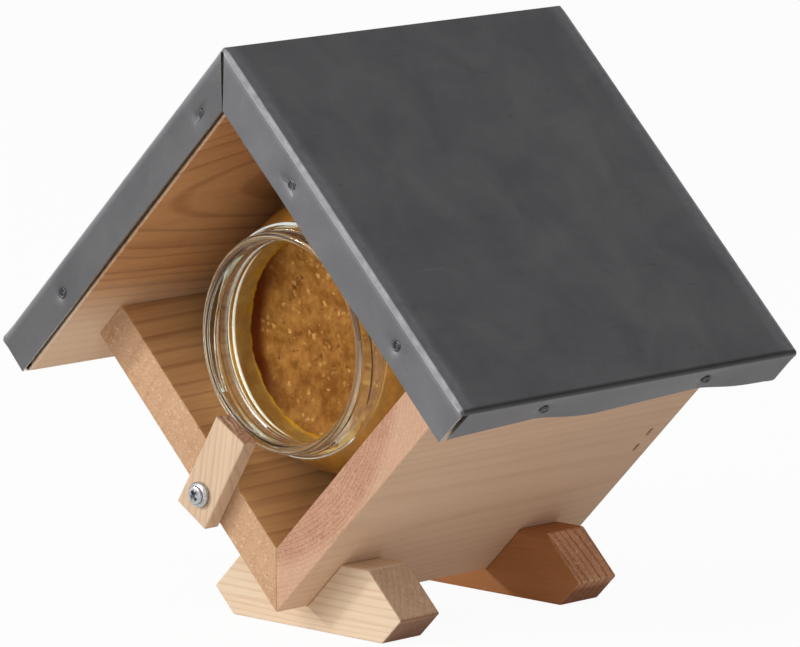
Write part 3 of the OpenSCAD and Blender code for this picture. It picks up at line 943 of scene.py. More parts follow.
    def back_panel(self) -> None:
        """Builds the square back panel that stands on its corner."""
        house = self.house
        near, far = house.roof, house.roof + house.inner
        corners = [(near, near), (far, near), (far, far), (near, far)]
        wood = BareLarch("back_panel_larch", "#CDA27A", "#94673F", "#D9B594", "#A87E5C", (0.7, 0.02, -0.7),
                         (0, house.wall_rear + 30, 20), ring_gap=4.2, contrast=0.42)
        bm = prism([house.across(Side.RIGHT, s, d) for s, d in corners], house.wall_rear - house.board,
                   house.wall_rear, self.edge)
        panel = object_from(bm, "back_panel_larch", wood.material())
        place(panel, Body.HOUSE, Slot.WALL_WOOD, "back_panel")

    def foot(self, node: str, wood: BareLarch) -> None:
        """Builds a foot with pointed ends, a V notch and the holes of its two screws.

        Args:
            node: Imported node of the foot.
            wood: Its finish.
        """
        low, high = in_mm(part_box(node))
        half, height = high.x, high.z
        shoulder = half - (height - self.foot_tip)
        bottom = half - self.foot_tip
        notch = height - self.house.lift
        corners = [(-bottom, 0), (bottom, 0), (half, self.foot_tip), (shoulder, height), (notch, height),
                   (0, self.house.lift), (-notch, height), (-shoulder, height), (-half, self.foot_tip)]
        foot = object_from(prism(corners, low.y, high.y, self.foot_edge), f"{node}_larch", wood.material())
        for x in (-self.foot_screw_x, self.foot_screw_x):
            bm = bmesh.new()
            bmesh.ops.create_cone(bm, cap_ends=True, segments=32, radius1=self.screw_hole / 2,
                                  radius2=self.screw_hole / 2, depth=2 * self.screw_sink)
            bmesh.ops.translate(bm, vec=(x, (low.y + high.y) / 2, 0), verts=bm.verts)
            join_shapes(foot, object_from(bm, "screw_hole"), "DIFFERENCE")
        place(foot, Body.HOUSE, Slot.FOOT_WOOD, node)


@dataclass(frozen=True)
class GridLine:
    """A line of the roof sheet's grid: its place along its run, its drop and its zone."""

    at: float
    drop: float
    zone: Zone


@dataclass
class FoldedRoof:
    """The roof's one metal sheet: two slopes and six flanges, dented by its nails."""

    house: HouseSizes
    zinc: bpy.types.Material
    edge_metal: bpy.types.Material
    steel: bpy.types.Material
    fold_radius: float = 0.45
    facet: float = 1.25
    rear_radius: float = 0.5
    eave_radius: float = 0.9
    bend_steps: int = 3
    drop: float = 12.1
    corner_slit: dict[Side, float] = field(default_factory=lambda: {Side.LEFT: 1.4, Side.RIGHT: 2.8})
    rear_slit: float = 0.55
    corner_step: float = 0.2
    tight: float = 0.5
    tight_reach: float = 6.0
    ridge_slit: float = 1.2
    slit_taper: float = 0.68
    ridge_round: float = 0.5
    crease: float = 0.22
    crease_near: float = 2.8
    crease_far: float = 4.6
    crease_fade: float = 22.0
    crease_steps: int = 8
    step: float = 2.6
    least_step: float = 0.02
    nail_stations: tuple[float, ...] = (0.0, 0.35, 0.7, 1.0, 1.25, 1.5, 1.9, 2.4, 3.0, 3.7)
    dent: float = 0.55
    dent_width: float = 1.6
    pit: float = 0.7
    pit_radius: float = 1.35
    pit_edge: float = 0.2
    flange_bow: float = 0.25
    eave_pull: dict[Side, float] = field(default_factory=lambda: {Side.LEFT: 0.6, Side.RIGHT: 1.8})
    pull_reach: float = 11.5
    pull_lead: float = 42.0
    buckle: float = 0.3
    buckle_size: float = 55.0
    buckle_margin: float = 4.0
    buckle_fade: float = 20.0
    nail_drop: float = 6.8
    nail_head: float = 2.3
    nail_dome: float = 0.7
    nail_rim: float = 0.42
    nail_lean: float = 0.35
    nail_proud: float = 0.1
    nail_shank: float = 1.4
    nail_length: float = 13.0
    front_nails: dict[Side, tuple[float, float]] = field(
        default_factory=lambda: {Side.LEFT: (20.0, 97.0), Side.RIGHT: (42.5, 97.0)})
    rear_nails: tuple[float, float] = (42.5, 97.0)
    eave_nails_from: tuple[float, float] = (36.3, 31.5)

    def build(self) -> None:
        """Builds and dresses the sheet and its nails."""
        bm = bmesh.new()
        for side in Side:
            self.half(bm, side)
        roof = object_from(bm, "folded_zinc_roof", self.zinc, self.edge_metal, closed=False)
        wall = roof.modifiers.new("sheet", "SOLIDIFY")
        wall.thickness = self.house.sheet * MM
        wall.offset = -1
        wall.material_offset_rim = 1
        apply_modifiers(roof)
        smooth(roof, sharp_angle=42)
        place(roof, Body.HOUSE, Slot.ROOF_METAL, "roof_sheet")
        self.nails()

    def eave_nails(self) -> tuple[float, float]:
        """Places of the eave nails along Y."""
        return self.house.front + self.eave_nails_from[0], self.house.rear - self.eave_nails_from[1]

    def stations(self, start: float, end: float, nails: Sequence[float]) -> list[float]:
        """Places along a run, close together round each nail.

        Args:
            start: First place.
            end: Last place.
            nails: Places of the nails.

        Returns:
            The places in order.
        """
        count = round((end - start) / self.step)
        places = [start + (end - start) * i / count for i in range(count + 1)]
        near = self.nail_stations
        for nail in nails:
            places = [p for p in places if abs(p - nail) > near[-1] or p in (start, end)]
            places += [nail + side * away for away in near for side in (-1, 1)]
        return self.spread(places)

    def spread(self, places: Sequence[float]) -> list[float]:
        """Sorts places and drops those that all but touch the one before."""
        kept: list[float] = []
        for at in sorted(places):
            if not kept or at - kept[-1] > self.least_step:
                kept.append(at)
        return kept

    def bend(self, radius: float, facet: float) -> list[Point]:
        """Points of a right-angled bend with a flat facet in its middle.

        Args:
            radius: Radius of the two half bends.
            facet: Length of the facet.

        Returns:
            Distances run towards the edge and dropped, from the start of the bend.
        """
        points = [(0.0, 0.0)]
        for first in (0, 45):
            middle = (points[-1][0] - radius * math.sin(math.radians(first)),
                      points[-1][1] + radius * math.cos(math.radians(first)))
            for i in range(1, self.bend_steps + 1):
                turn = math.radians(first + 45 * i / self.bend_steps)
                points.append((middle[0] + radius * math.sin(turn), middle[1] - radius * math.cos(turn)))
            if first == 0 and facet > 0:
                points.append((points[-1][0] + facet / ROOT2, points[-1][1] + facet / ROOT2))
        return points

    def columns(self, side: Side) -> list[GridLine]:
        """Grid lines down the slope: the slope, the fold at the eave and the eave flange."""
        eave = self.house.slope
        fold = self.bend(self.eave_radius, 0)
        start, low = eave - fold[-1][0], fold[-1][1]
        nails = sorted({*self.front_nails[side], *self.rear_nails})
        lines = [GridLine(s, 0, Zone.SLOPE) for s in self.stations(0, start, nails)]
        lines += [GridLine(start + run, drop, Zone.FOLD) for run, drop in fold[1:]]
        deep = self.stations(low, self.drop, [self.nail_drop])[1:]
        return lines + [GridLine(eave, d, Zone.FLANGE) for d in deep]

    def rows(self, side: Side) -> list[GridLine]:
        """Grid lines along Y: front flange, fold, slope, fold and rear flange."""
        house = self.house
        fold = self.bend(self.fold_radius, self.facet)
        turn = self.bend(self.rear_radius, 0)
        start, end = house.front + fold[-1][0], house.rear - turn[-1][0]
        deep, rear_deep = (self.stations(points[-1][1], self.drop, [self.nail_drop])[1:]
                           for points in (fold, turn))
        extra = [house.front + self.corner_slit[side], house.rear - self.rear_slit]
        for i in range(self.crease_steps + 1):
            edge = self.crease_near + (self.crease_far - self.crease_near) * i / self.crease_steps
            extra += [house.front + edge, house.rear - edge]
        inside = [y for y in extra if start < y < end]
        middle = self.spread([*self.stations(start, end, self.eave_nails()), *inside])
        front = [GridLine(house.front, d, Zone.FLANGE) for d in reversed(deep)]
        front += [GridLine(start - run, d, Zone.FOLD) for run, d in reversed(fold[1:])]
        rear = [GridLine(end + run, d, Zone.FOLD) for run, d in turn[1:]]
        rear += [GridLine(house.rear, d, Zone.FLANGE) for d in rear_deep]
        return front + [GridLine(y, 0, Zone.SLOPE) for y in middle] + rear

    def half(self, bm: bmesh.types.BMesh, side: Side) -> None:
        """Draws one side of the sheet as a grid, open at its corner slits.

        Args:
            bm: Mesh to draw into.
            side: Side to draw.
        """
        house = self.house
        columns, rows = self.columns(side), self.rows(side)
        grid = [[bm.verts.new(self.vertex(side, column, row)) for row in rows] for column in columns]
        first, last = house.front + self.corner_slit[side] - 1e-6, house.rear - self.rear_slit + 1e-6
        for i in range(len(columns) - 1):
            for j in range(len(rows) - 1):
                apart = columns[i + 1].zone is Zone.FLANGE
                slit = any(r.zone is not Zone.SLOPE or not first < r.at < last for r in rows[j:j + 2])
                if apart and slit:
                    continue
                ring = [grid[i][j], grid[i + 1][j], grid[i + 1][j + 1], grid[i][j + 1]]
                bm.faces.new(ring if side is Side.RIGHT else ring[::-1])

    def vertex(self, side: Side, column: GridLine, row: GridLine) -> Place:
        """Place of one point of the sheet's outer face.

        Args:
            side: Side of the house.
            column: Grid line down the slope.
            row: Grid line along Y.

        Returns:
            The point.
        """
        house = self.house
        s, y, d = column.at, row.at, column.drop + row.drop
        flat = house.slope - self.eave_radius
        low = self.facet / ROOT2 + self.fold_radius if row.at < 0 else self.rear_radius
        deep = row.drop
        if row.zone is not Zone.SLOPE:
            near = min(max(min(s, house.slope - s) / self.tight_reach, 0), 1)
            share = 1 if row.at > 0 else self.tight + (1 - self.tight) * near * (2 - near)
            deep = row.drop * share
            if row.zone is Zone.FOLD and row.at < 0:
                y = house.front + (y - house.front) * share
            if row.zone is Zone.FLANGE:
                deep = low * share + (row.drop - low) * (self.drop - low * share) / (self.drop - low)
            d = column.drop + deep
        if row.zone is not Zone.SLOPE and column.zone is Zone.SLOPE:
            slit = self.ridge_slit * (1 - self.slit_taper * deep / self.drop)
            start = deep + slit / ROOT2 * min(row.drop / low, 1)
            s = start + s * (flat - start) / flat
        if row.zone is Zone.FLANGE:
            if column.zone is Zone.FOLD:
                d = deep + column.drop * (self.drop - deep) / self.drop
                step = self.corner_step / self.eave_radius * min((row.drop - low) / 2, 1)
                s = flat + (s - flat) * (1 - step)
            front = row.at < 0
            nails = self.front_nails[side] if front else self.rear_nails
            out = self.flange_bow * (1 - self.held(s, nails)) * (d / self.drop) ** 2
            out -= self.dents(s, d, nails)
            y += -out if front else out
        elif column.zone is Zone.FLANGE:
            nails = self.eave_nails()
            s -= self.eave_pull[side] * self.pinched(y, nails) * column.drop / self.drop
            s -= self.dents(y, column.drop, nails)
        if row.zone is Zone.SLOPE:
            edge = min(y - house.front, house.rear - y)
            rise = min(max((edge - self.crease_near) / (self.crease_far - self.crease_near), 0), 1)
            d -= self.crease * min(s / self.crease_fade, 1) * rise * rise * (3 - 2 * rise)
            if column.zone is Zone.SLOPE:
                inner = min(s, flat - s, edge)
                spot = Vector((s / self.buckle_size, y / self.buckle_size, 3.0 * side.value))
                share = min(max(inner - self.buckle_margin, 0) / self.buckle_fade, 1)
                d += self.buckle * noise.noise(spot) * share
        x, z = house.across(side, s, d)
        if column.zone is Zone.SLOPE:
            z += (abs(x) - math.hypot(x, self.ridge_round)) * (1 - row.drop / self.drop)
        return x, y, z

    def held(self, at: float, nails: Sequence[float]) -> float:
        """How firmly the nails hold a flange at a place along it: 1 at a nail, 0 far from them."""
        return min(sum(math.exp(-((at - nail) / self.pull_reach) ** 2) for nail in nails), 1)

    def pinched(self, y: float, nails: Sequence[float]) -> float:
        """How far the nails draw an eave flange in: slowly up to each nail, less and less behind it."""
        return max(max(1 - (nail - y) / self.pull_lead, 0) if y < nail
                   else math.exp(-((y - nail) / self.pull_reach) ** 2) for nail in nails)

    def dents(self, at: float, drop: float, nails: Sequence[float]) -> float:
        """Depth of the nails' dents at a place on a flange: a wide dimple with a pit for the head."""
        away = min(math.hypot(at - nail, drop - self.nail_drop) for nail in nails)
        pit = min(max((self.pit_radius + self.pit_edge - away) / (2 * self.pit_edge), 0), 1)
        return self.dent * math.exp(-(away / self.dent_width) ** 2 / 2) + self.pit * pit

    def nail_places(self) -> dict[str, list[tuple[Vector, Vector]]]:
        """Places where the nails meet the boards, and the directions that they face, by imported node."""
        house = self.house
        groups: dict[str, list[tuple[Vector, Vector]]] = {}
        for side in Side:
            label = side.name.lower()
            pulled = house.slope - self.eave_pull[side] * self.nail_drop / self.drop
            for end, y, out, places in (
                    ("front", house.front, Vector((0, -1, 0)), self.front_nails[side]),
                    ("rear", house.rear, Vector((0, 1, 0)), self.rear_nails)):
                spots = [house.across(side, s, self.nail_drop) for s in places]
                groups[f"{end}_{label}_nails"] = [(Vector((x, y, z)), out) for x, z in spots]
            x, z = house.across(side, pulled, self.nail_drop)
            down = Vector((side.value / ROOT2, 0, -1 / ROOT2))
            groups[f"{label}_eave_nails"] = [(Vector((x, y, z)), down) for y in self.eave_nails()]
        return groups

    def pits(self) -> dict[Side, list[tuple[Vector, Vector]]]:
        """Places on the boards' faces that the nails dent, and their directions, by side."""
        under = self.house.sheet
        return {side: [(at - under * out, out) for node, spots in self.nail_places().items()
                       if side.name.lower() in node for at, out in spots] for side in Side}

    def nails(self) -> None:
        """Builds the nails of each flange, sunk into their dents."""
        tree = self.nail_tree()
        for node, spots in self.nail_places().items():
            out = spots[0][1]
            at_eave = "eave" in node
            sink = -self.nail_proud if at_eave else self.dent + self.nail_proud
            lean = Vector((0, -self.nail_lean, 0)) if at_eave else Vector()
            self.nail_group(tree, node, [at - sink * out for at, _ in spots], (out + lean).normalized())

    def nail_group(self, tree: bpy.types.NodeTree, node: str, places: Sequence[Vector],
                   out: Vector) -> None:
        """Builds the nails of one flange with the nail tree.

        Args:
            tree: Geometry tree that draws a nail at each point.
            node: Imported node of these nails.
            places: Middles of the heads.
            out: Direction that the heads face.
        """
        mesh = bpy.data.meshes.new(node)
        mesh.from_pydata([p * MM for p in places], [], [])
        facing = mesh.attributes.new("out", "FLOAT_VECTOR", "POINT")
        for item in facing.data:
            item.vector = out
        nails = new_object(f"{node}_hammered", mesh)
        run_tree(nails, tree, {"Head": self.nail_head * MM, "Dome": self.nail_dome * MM,
                               "Shank": self.nail_shank * MM, "Length": self.nail_length * MM,
                               "Rim": self.nail_rim * MM})
        smooth(nails, sharp_angle=50)
        place(nails, Body.HOUSE, Slot.STEEL, node)

    def nail_tree(self) -> bpy.types.NodeTree:
        """Makes the tree that draws a nail with a domed, rimmed head at each point."""
        names = ("Head", "Dome", "Shank", "Length", "Rim")
        tree, add, given = new_geometry_tree("flange_nails", dict.fromkeys(names, "NodeSocketFloat"))
        wide, dome, shank, length, wire = (given[name] for name in names)
        low, half, span, thick = (add("ShaderNodeMath", {0: size, 1: share}, operation="MULTIPLY")
                                  for size, share in ((wire, -0.6), (shank, 0.5), (wide, 0.5), (wire, 0.5)))
        ball = add("GeometryNodeMeshUVSphere", {"Segments": 20, "Rings": 10, "Radius": 0.36})
        head = add("GeometryNodeTransform", {
            "Geometry": ball, "Scale": add("ShaderNodeCombineXYZ", {0: wide, 1: wide, 2: dome}),
            "Translation": add("ShaderNodeCombineXYZ", {2: low})})
        rod = add("GeometryNodeMeshCone", {"Vertices": 12, "Radius Top": 0.0001, "Radius Bottom": half,
                                           "Depth": length})
        turned = add("GeometryNodeTransform", {"Geometry": rod, "Rotation": (math.pi, 0, 0)})
        circle, section = (add("GeometryNodeCurvePrimitiveCircle", {"Resolution": steps, "Radius": radius})
                           for steps, radius in ((24, span), (8, thick)))
        rim = add("GeometryNodeCurveToMesh", {"Curve": circle, "Profile Curve": section})
        whole = add("GeometryNodeJoinGeometry")
        for piece in (head, turned, rim):
            set_inputs(whole, {0: piece})
        facing = add("GeometryNodeInputNamedAttribute", {"Name": "out"}, data_type="FLOAT_VECTOR")
        aim = add("FunctionNodeAlignRotationToVector", {"Vector": facing}, axis="Z")
        nails = add("GeometryNodeInstanceOnPoints", {"Points": given["Geometry"], "Instance": whole,
                                                     "Rotation": aim})
        end_geometry_tree(tree, nails, self.steel)
        return tree


@dataclass
class TurnButton:
    """The wooden turn button and the screw that it turns on."""

    steel: bpy.types.Material
    angle: float = 58.5
    length: float = 29.9
    width: float = 12.6
    near_end: float = 7.4
    edge: float = 0.45
    torn: float = 0.7
    torn_share: float = 0.35
    torn_pitch: Point = (1.1, 0.45)
    warp: float = 0.05
    warp_pitch: float = 0.25
    warp_layers: Place = (0.0, 40.0, 80.0)
    grain_lean: float = 22.0
    rim: float = 3.5
    rim_height: float = 1.6
    crown: float = 2.5
    head_height: float = 2.4
    shank: float = 1.75
    shank_length: float = 24.0
    cross_arm: float = 2.05
    cross_width: float = 1.7
    cross_depth: float = 1.5

    def build(self) -> None:
        """Builds and dresses the button and its screw."""
        joint = next(j for j in frame["joints"] if j["name"] == "button_turn")
        pivot = Vector(joint["pos_m"]) / MM
        low, high = in_mm(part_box("turn_button"))
        self.block(pivot, low.y, high.y)
        screw_low, _ = in_mm(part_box("turn_button_screw"))
        self.screw(Vector((pivot.x, screw_low.y, pivot.z)))

    def block(self, pivot: Vector, front: float, rear: float) -> None:
        """Builds the button, torn by the saw on its upper end.

        Args:
            pivot: Point on the screw's axis.
            front: Place of its front face along Y.
            rear: Place of its rear face along Y.
        """
        far = self.length - self.near_end
        half = self.width / 2
        corners = [(-self.near_end, -half), (far, -half), (far, half), (-self.near_end, half)]
        bm = prism(corners, front, rear, self.edge)
        bmesh.ops.subdivide_edges(bm, edges=bm.edges[:], cuts=5, use_grid_fill=True)
        for vert in bm.verts:
            rough = noise.noise(Vector((vert.co.y * self.torn_pitch[0], vert.co.z * self.torn_pitch[1], 7)))
            if vert.co.x > far - 0.2 and vert.co.z > -1:
                vert.co.x -= self.torn * max(rough + self.torn_share, 0)
            spot = vert.co * self.warp_pitch
            vert.co += self.warp * Vector([noise.noise(spot + Vector((0, 0, z))) for z in self.warp_layers])
        turn = math.radians(self.angle)
        bmesh.ops.rotate(bm, matrix=Matrix.Rotation(-turn, 3, "Y"), verts=bm.verts)
        bmesh.ops.translate(bm, vec=(pivot.x, 0, pivot.z), verts=bm.verts)
        lean = turn + math.radians(self.grain_lean)
        wood = BareLarch("turn_button_larch", "#D6BA9C", "#B08C6E", "#D2AC90", "#9A7058",
                         (math.cos(lean), 0.03, math.sin(lean)), (pivot.x - 60, -90, pivot.z + 40),
                         ring_gap=1.9, contrast=0.34)
        place(object_from(bm, "turn_button_larch", wood.material()), Body.BUTTON, Slot.BUTTON_WOOD,
              "turn_button")

    def screw(self, tip: Vector) -> None:
        """Builds the pan head screw with its cross recess.

        Args:
            tip: Middle of the head's outer face.
        """
        seat = self.head_height
        low = seat - self.rim_height
        profile = [(0, 0.0), (self.crown * 0.8, 0.05), (self.crown * 0.95, 0.2), (self.crown, 0.5),
                   (self.crown, low + 0.2), (self.crown + 0.12, low + 0.2), (self.crown + 0.2, low),
                   (self.rim - 0.3, low + 0.2), (self.rim, low + 0.6), (self.rim, seat), (self.shank, seat),
                   (self.shank, seat + self.shank_length - 3), (0, seat + self.shank_length)]
        screw = object_from(lathe(profile, 48), "turn_button_pan_screw", self.steel)
        for turn in (0, math.pi / 2):
            bm = bmesh.new()
            bmesh.ops.create_cube(bm, size=1)
            for vert in bm.verts:
                tight = 0.5 if vert.co.y > 0 else 1.0
                vert.co.x *= 2 * self.cross_arm * tight
                vert.co.z *= self.cross_width * tight
                vert.co.y *= 2 * self.cross_depth
            aim = Matrix.Rotation(turn + math.radians(self.angle), 3, "Y")
            bmesh.ops.rotate(bm, matrix=aim, verts=bm.verts)
            join_shapes(screw, object_from(bm, "cross_arm"), "DIFFERENCE")
        screw.data.transform(Matrix.Translation(tip * MM))
        smooth(screw, sharp_angle=35)
        place(screw, Body.HOUSE, Slot.STEEL, "turn_button_screw")


@dataclass
class FilledJar:
    """The glass jar on its side and the peanut butter in it."""

    glass: bpy.types.Material
    wall: float = 2.6
    base: float = 4.0
    neck: float = 30.5
    neck_length: float = 9.2
    shoulder_length: float = 16.0
    bead_at: float = 7.0
    bead_radius: float = 32.5
    bead_width: float = 3.4
    heel: float = 6.0
    push_up: float = 1.6
    steps: int = 128
    fill_depth: float = 18.0
    edge_lift: float = 1.5
    sink: float = 0.25
    film_top: float = 10.9
    bore: float = 28.8
    groove: float = 0.9
    surface_steps: int = 44
    bore_steps: int = 12
    lumps: tuple[Point, ...] = ((0.6, 9.0), (0.3, 2.6))
    smears: tuple[Point, ...] = ((0.4, 7.0), (0.12, 2.2))
    clump: float = 5.0
    lug_count: int = 4
    lug_turn: float = 0.2
    lug_rise: float = 2.6
    lug_thick: float = 1.0
    lug_at: float = 3.4
    lug_start: float = 146.0
    crumb_shift: float = 2.5
    crumb_seed: int = 4
    radius: float = field(init=False)
    length: float = field(init=False)
    lip: Vector = field(init=False)

    def __post_init__(self) -> None:
        """Reads the jar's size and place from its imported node."""
        low, high = in_mm(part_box("jar"))
        self.radius = (high.x - low.x) / 2
        self.length = high.y - low.y
        self.lip = Vector((0, low.y, (low.z + high.z) / 2))

    def build(self) -> None:
        """Builds and dresses the jar, its contents and their crumbs."""
        jar = object_from(lathe(self.profile(), self.steps), "glass_jar", self.glass)
        join_shapes(jar, self.lugs(), "UNION")
        jar.data.transform(Matrix.Translation(self.lip * MM))
        smooth(jar, sharp_angle=50)
        place(jar, Body.JAR, Slot.GLASS, "jar")
        self.contents()

    def shoulder(self, inset: float) -> list[Point]:
        """Points of the rounded shoulder, from the neck to the body."""
        steps = 16
        swell = self.radius - self.neck
        return [(self.neck + swell * math.sin(math.pi / 2 * i / steps) - inset,
                 self.neck_length + self.shoulder_length * i / steps) for i in range(steps + 1)]

    def inside(self, start: float, inset: float) -> list[Point]:
        """Inner profile from a distance behind the lip to the middle of the base.

        Args:
            start: Distance behind the lip.
            inset: Distance inside the outer face of the glass.

        Returns:
            Points as radius and distance from the lip.
        """
        floor = self.length - self.base + self.wall - inset
        curve = [p for p in self.shoulder(inset) if p[1] > start]
        bend = arc((self.radius - self.heel, floor - self.heel + inset), self.heel - inset, 0, 90, 8)
        return curve + bend + [(0, floor)]

    def profile(self) -> list[Point]:
        """Profile of the glass, from the middle of its base round the lip to the middle of its floor."""
        lip = self.wall / 2
        bead = self.bead_width / 2
        swell = self.bead_radius - self.neck
        outside = [(0, self.length - self.push_up), (self.radius * 0.45, self.length - self.push_up),
                   (self.radius * 0.62, self.length)]
        outside += arc((self.radius - self.heel, self.length - self.heel), self.heel, 90, 0, 8)
        outside += list(reversed(self.shoulder(0)))
        ring = [(self.neck + swell * math.cos(math.pi / 2 * i / 6) ** 0.8, self.bead_at - bead * i / 6)
                for i in range(-6, 7)]
        outside += ring
        outside += arc((self.neck - lip, lip), lip, 0, -180, 10)
        inner = [(self.neck - self.wall, self.neck_length - 1.5)]
        return outside + inner + self.inside(self.neck_length - 0.1, self.wall)

    def lugs(self) -> bpy.types.Object:
        """Builds the slanted lugs of the twist-off neck, round the jar's axis."""
        names = ("Radius", "Turn", "Rise", "Thick", "Start")
        tree, add, size = new_geometry_tree("neck_lugs", {**dict.fromkeys(names, "NodeSocketFloat"),
                                                          "Count": "NodeSocketInt"})
        thread = add("GeometryNodeCurveSpiral", {
            "Resolution": 200, "Rotations": size["Turn"], "Start Radius": size["Radius"],
            "End Radius": size["Radius"], "Height": size["Rise"], "Reverse": True})
        half = add("ShaderNodeMath", {0: size["Thick"], 1: 0.5}, operation="MULTIPLY")
        section = add("GeometryNodeCurvePrimitiveCircle", {"Resolution": 12, "Radius": half})
        bar = add("GeometryNodeCurveToMesh", {"Curve": thread, "Profile Curve": section, "Fill Caps": True})
        ring = add("GeometryNodePoints", {"Count": size["Count"]})
        step = add("ShaderNodeMath", {0: math.tau, 1: size["Count"]}, operation="DIVIDE")
        angle = add("ShaderNodeMath", {0: add("GeometryNodeInputIndex"), 1: step, 2: size["Start"]},
                    operation="MULTIPLY_ADD")
        lugs = add("GeometryNodeInstanceOnPoints", {"Points": ring, "Instance": bar,
                                                    "Rotation": add("ShaderNodeCombineXYZ", {2: angle})})
        end_geometry_tree(tree, lugs, self.glass)
        obj = object_from(bmesh.new(), "neck_lugs", self.glass)
        run_tree(obj, tree, {"Radius": self.neck * MM, "Turn": self.lug_turn, "Rise": self.lug_rise * MM,
                             "Thick": self.lug_thick * MM, "Start": math.radians(self.lug_start),
                             "Count": self.lug_count})
        upright = Matrix.Rotation(-math.pi / 2, 4, "X")
        obj.data.transform(Matrix.Translation((0, self.lug_at * MM, 0)) @ upright)
        return obj

    def contents(self) -> None:
        """Builds the peanut butter, spooned out to a bore behind the neck, and its crumbs."""
        inset = self.wall - self.sink
        flat = self.bore - self.groove
        count = self.surface_steps
        edge = self.fill_depth - self.edge_lift
        surface = [(flat * i / count, self.fill_depth - self.edge_lift * (i / count) ** 4)
                   for i in range(count + 1)]
        groove = [(flat + 0.4, edge + 0.3), (flat + 0.7, edge + 0.4), (self.bore - 0.05, edge)]
        deep = edge - self.film_top
        steps = self.bore_steps
        wall = [(self.bore, edge - 0.4 - (deep - 1.4) * i / steps) for i in range(steps + 1)]
        brim = arc((self.bore + 0.8, self.film_top + 0.8), 0.8, 180, 270, 5)
        bm = lathe(surface + groove + wall + brim + self.inside(self.film_top, inset), 160)
        for vert in bm.verts:
            away = math.hypot(vert.co.x, vert.co.z)
            spot = Vector((vert.co.x, vert.co.y, vert.co.z))
            if away < flat + 1e-3 and edge - 1e-3 < vert.co.y < self.fill_depth + 1e-3:
                vert.co.y += sum(height * noise.noise(spot / size) for height, size in self.lumps)
            elif flat < away < self.bore + 0.3 and self.film_top + 1 < vert.co.y < self.fill_depth + 1:
                push = 1 + sum(height * noise.noise(spot / size) for height, size in self.smears) / away
                vert.co.x *= push
                vert.co.z *= push
        bmesh.ops.translate(bm, vec=self.lip, verts=bm.verts)
        paste = NutPaste(axis_height=self.lip.z, bore=self.bore, edge_y=self.lip.y + self.film_top)
        butter = object_from(bm, "smooth_nut_paste", paste.material())
        smooth(butter, sharp_angle=60)
        nut = NutGrain("broken_nut", "#B4823F", "#8E5E26").material()
        skin = NutGrain("nut_skin", "#84501F", "#683814").material()
        for name, material, density, size in (("nut_crumbs", nut, 80000, 0.95),
                                              ("nut_skins", skin, 11000, 0.9)):
            crumbs = new_object(name, butter.data.copy())
            run_tree(crumbs, self.crumb_tree(name, material),
                     {"Density": density, "Largest": size * MM, "Reach": (flat - self.crumb_shift) * MM,
                      "Aside": self.crumb_shift * MM, "Axis Height": self.lip.z * MM,
                      "Clump": self.clump * MM, "Seed": self.crumb_seed + len(name)})
            place(crumbs, Body.JAR, Slot.BUTTER)
        place(butter, Body.JAR, Slot.BUTTER, "peanut_butter")

    def crumb_tree(self, name: str, material: bpy.types.Material) -> bpy.types.NodeTree:
        """Makes a tree that scatters crumbs over the faces that look out of the jar.

        Args:
            name: Name of the tree.
            material: Material of the crumbs.

        Returns:
            The tree.
        """
        names = ("Density", "Largest", "Reach", "Aside", "Axis Height", "Clump")
        tree, add, size = new_geometry_tree(name, {**dict.fromkeys(names, "NodeSocketFloat"),
                                                   "Seed": "NodeSocketInt"})

        # Faces that look out of the jar, within reach of its axis
        outward = add("ShaderNodeSeparateXYZ", {0: add("GeometryNodeInputNormal")}).outputs["Y"]
        spot = add("GeometryNodeInputPosition")
        axis = add("ShaderNodeCombineXYZ", {0: size["Aside"], 2: size["Axis Height"]})
        from_axis = add("ShaderNodeVectorMath", {0: spot, 1: axis}, operation="SUBTRACT")
        across = add("ShaderNodeVectorMath", {0: from_axis, 1: (1, 0, 1)}, operation="MULTIPLY")
        away = add("ShaderNodeVectorMath", {0: across}, operation="LENGTH")
        facing_out, within = (
            add("FunctionNodeCompare", {0: value, 1: limit}, data_type="FLOAT", operation="LESS_THAN")
            for value, limit in ((outward, -0.7), (away, size["Reach"])))
        open_face = add("FunctionNodeBooleanMath", {0: facing_out, 1: within}, operation="AND")

        # Crumbs lie in clumps and are half sunk
        clump = add("ShaderNodeMath", {0: 1.0, 1: size["Clump"]}, operation="DIVIDE")
        patch = add("ShaderNodeTexNoise", {"Vector": spot, "Scale": clump})
        share = add("ShaderNodeMapRange", {"Value": patch, "From Min": 0.4, "From Max": 0.66,
                                           "To Min": 0.15, "To Max": 1.6})
        density = add("ShaderNodeMath", {0: size["Density"], 1: share}, operation="MULTIPLY")
        points = add("GeometryNodeDistributePointsOnFaces", {
            "Mesh": size["Geometry"], "Selection": open_face, "Density": density, "Seed": size["Seed"]})
        crumb = add("GeometryNodeMeshIcoSphere", {"Radius": 1.0, "Subdivisions": 1})
        least, inwards = (add("ShaderNodeMath", {0: size["Largest"], 1: part}, operation="MULTIPLY")
                          for part in (0.15, -0.35))
        low, high = (add("ShaderNodeCombineXYZ", {i: length for i in range(3)})
                     for length in (least, size["Largest"]))
        scale = add("FunctionNodeRandomValue", {0: low, 1: high, "Seed": 1}, data_type="FLOAT_VECTOR")
        turn = add("FunctionNodeRandomValue", {1: (math.tau, math.tau, math.tau), "Seed": 2},
                   data_type="FLOAT_VECTOR")
        sunk = add("ShaderNodeVectorMath", {0: points.outputs["Normal"], "Scale": inwards},
                   operation="SCALE")
        bedded = add("GeometryNodeSetPosition", {"Geometry": points, "Offset": sunk})
        crumbs = add("GeometryNodeInstanceOnPoints", {"Points": bedded, "Instance": crumb, "Rotation": turn,
                                                      "Scale": scale})
        end_geometry_tree(tree, crumbs, material)
        return tree


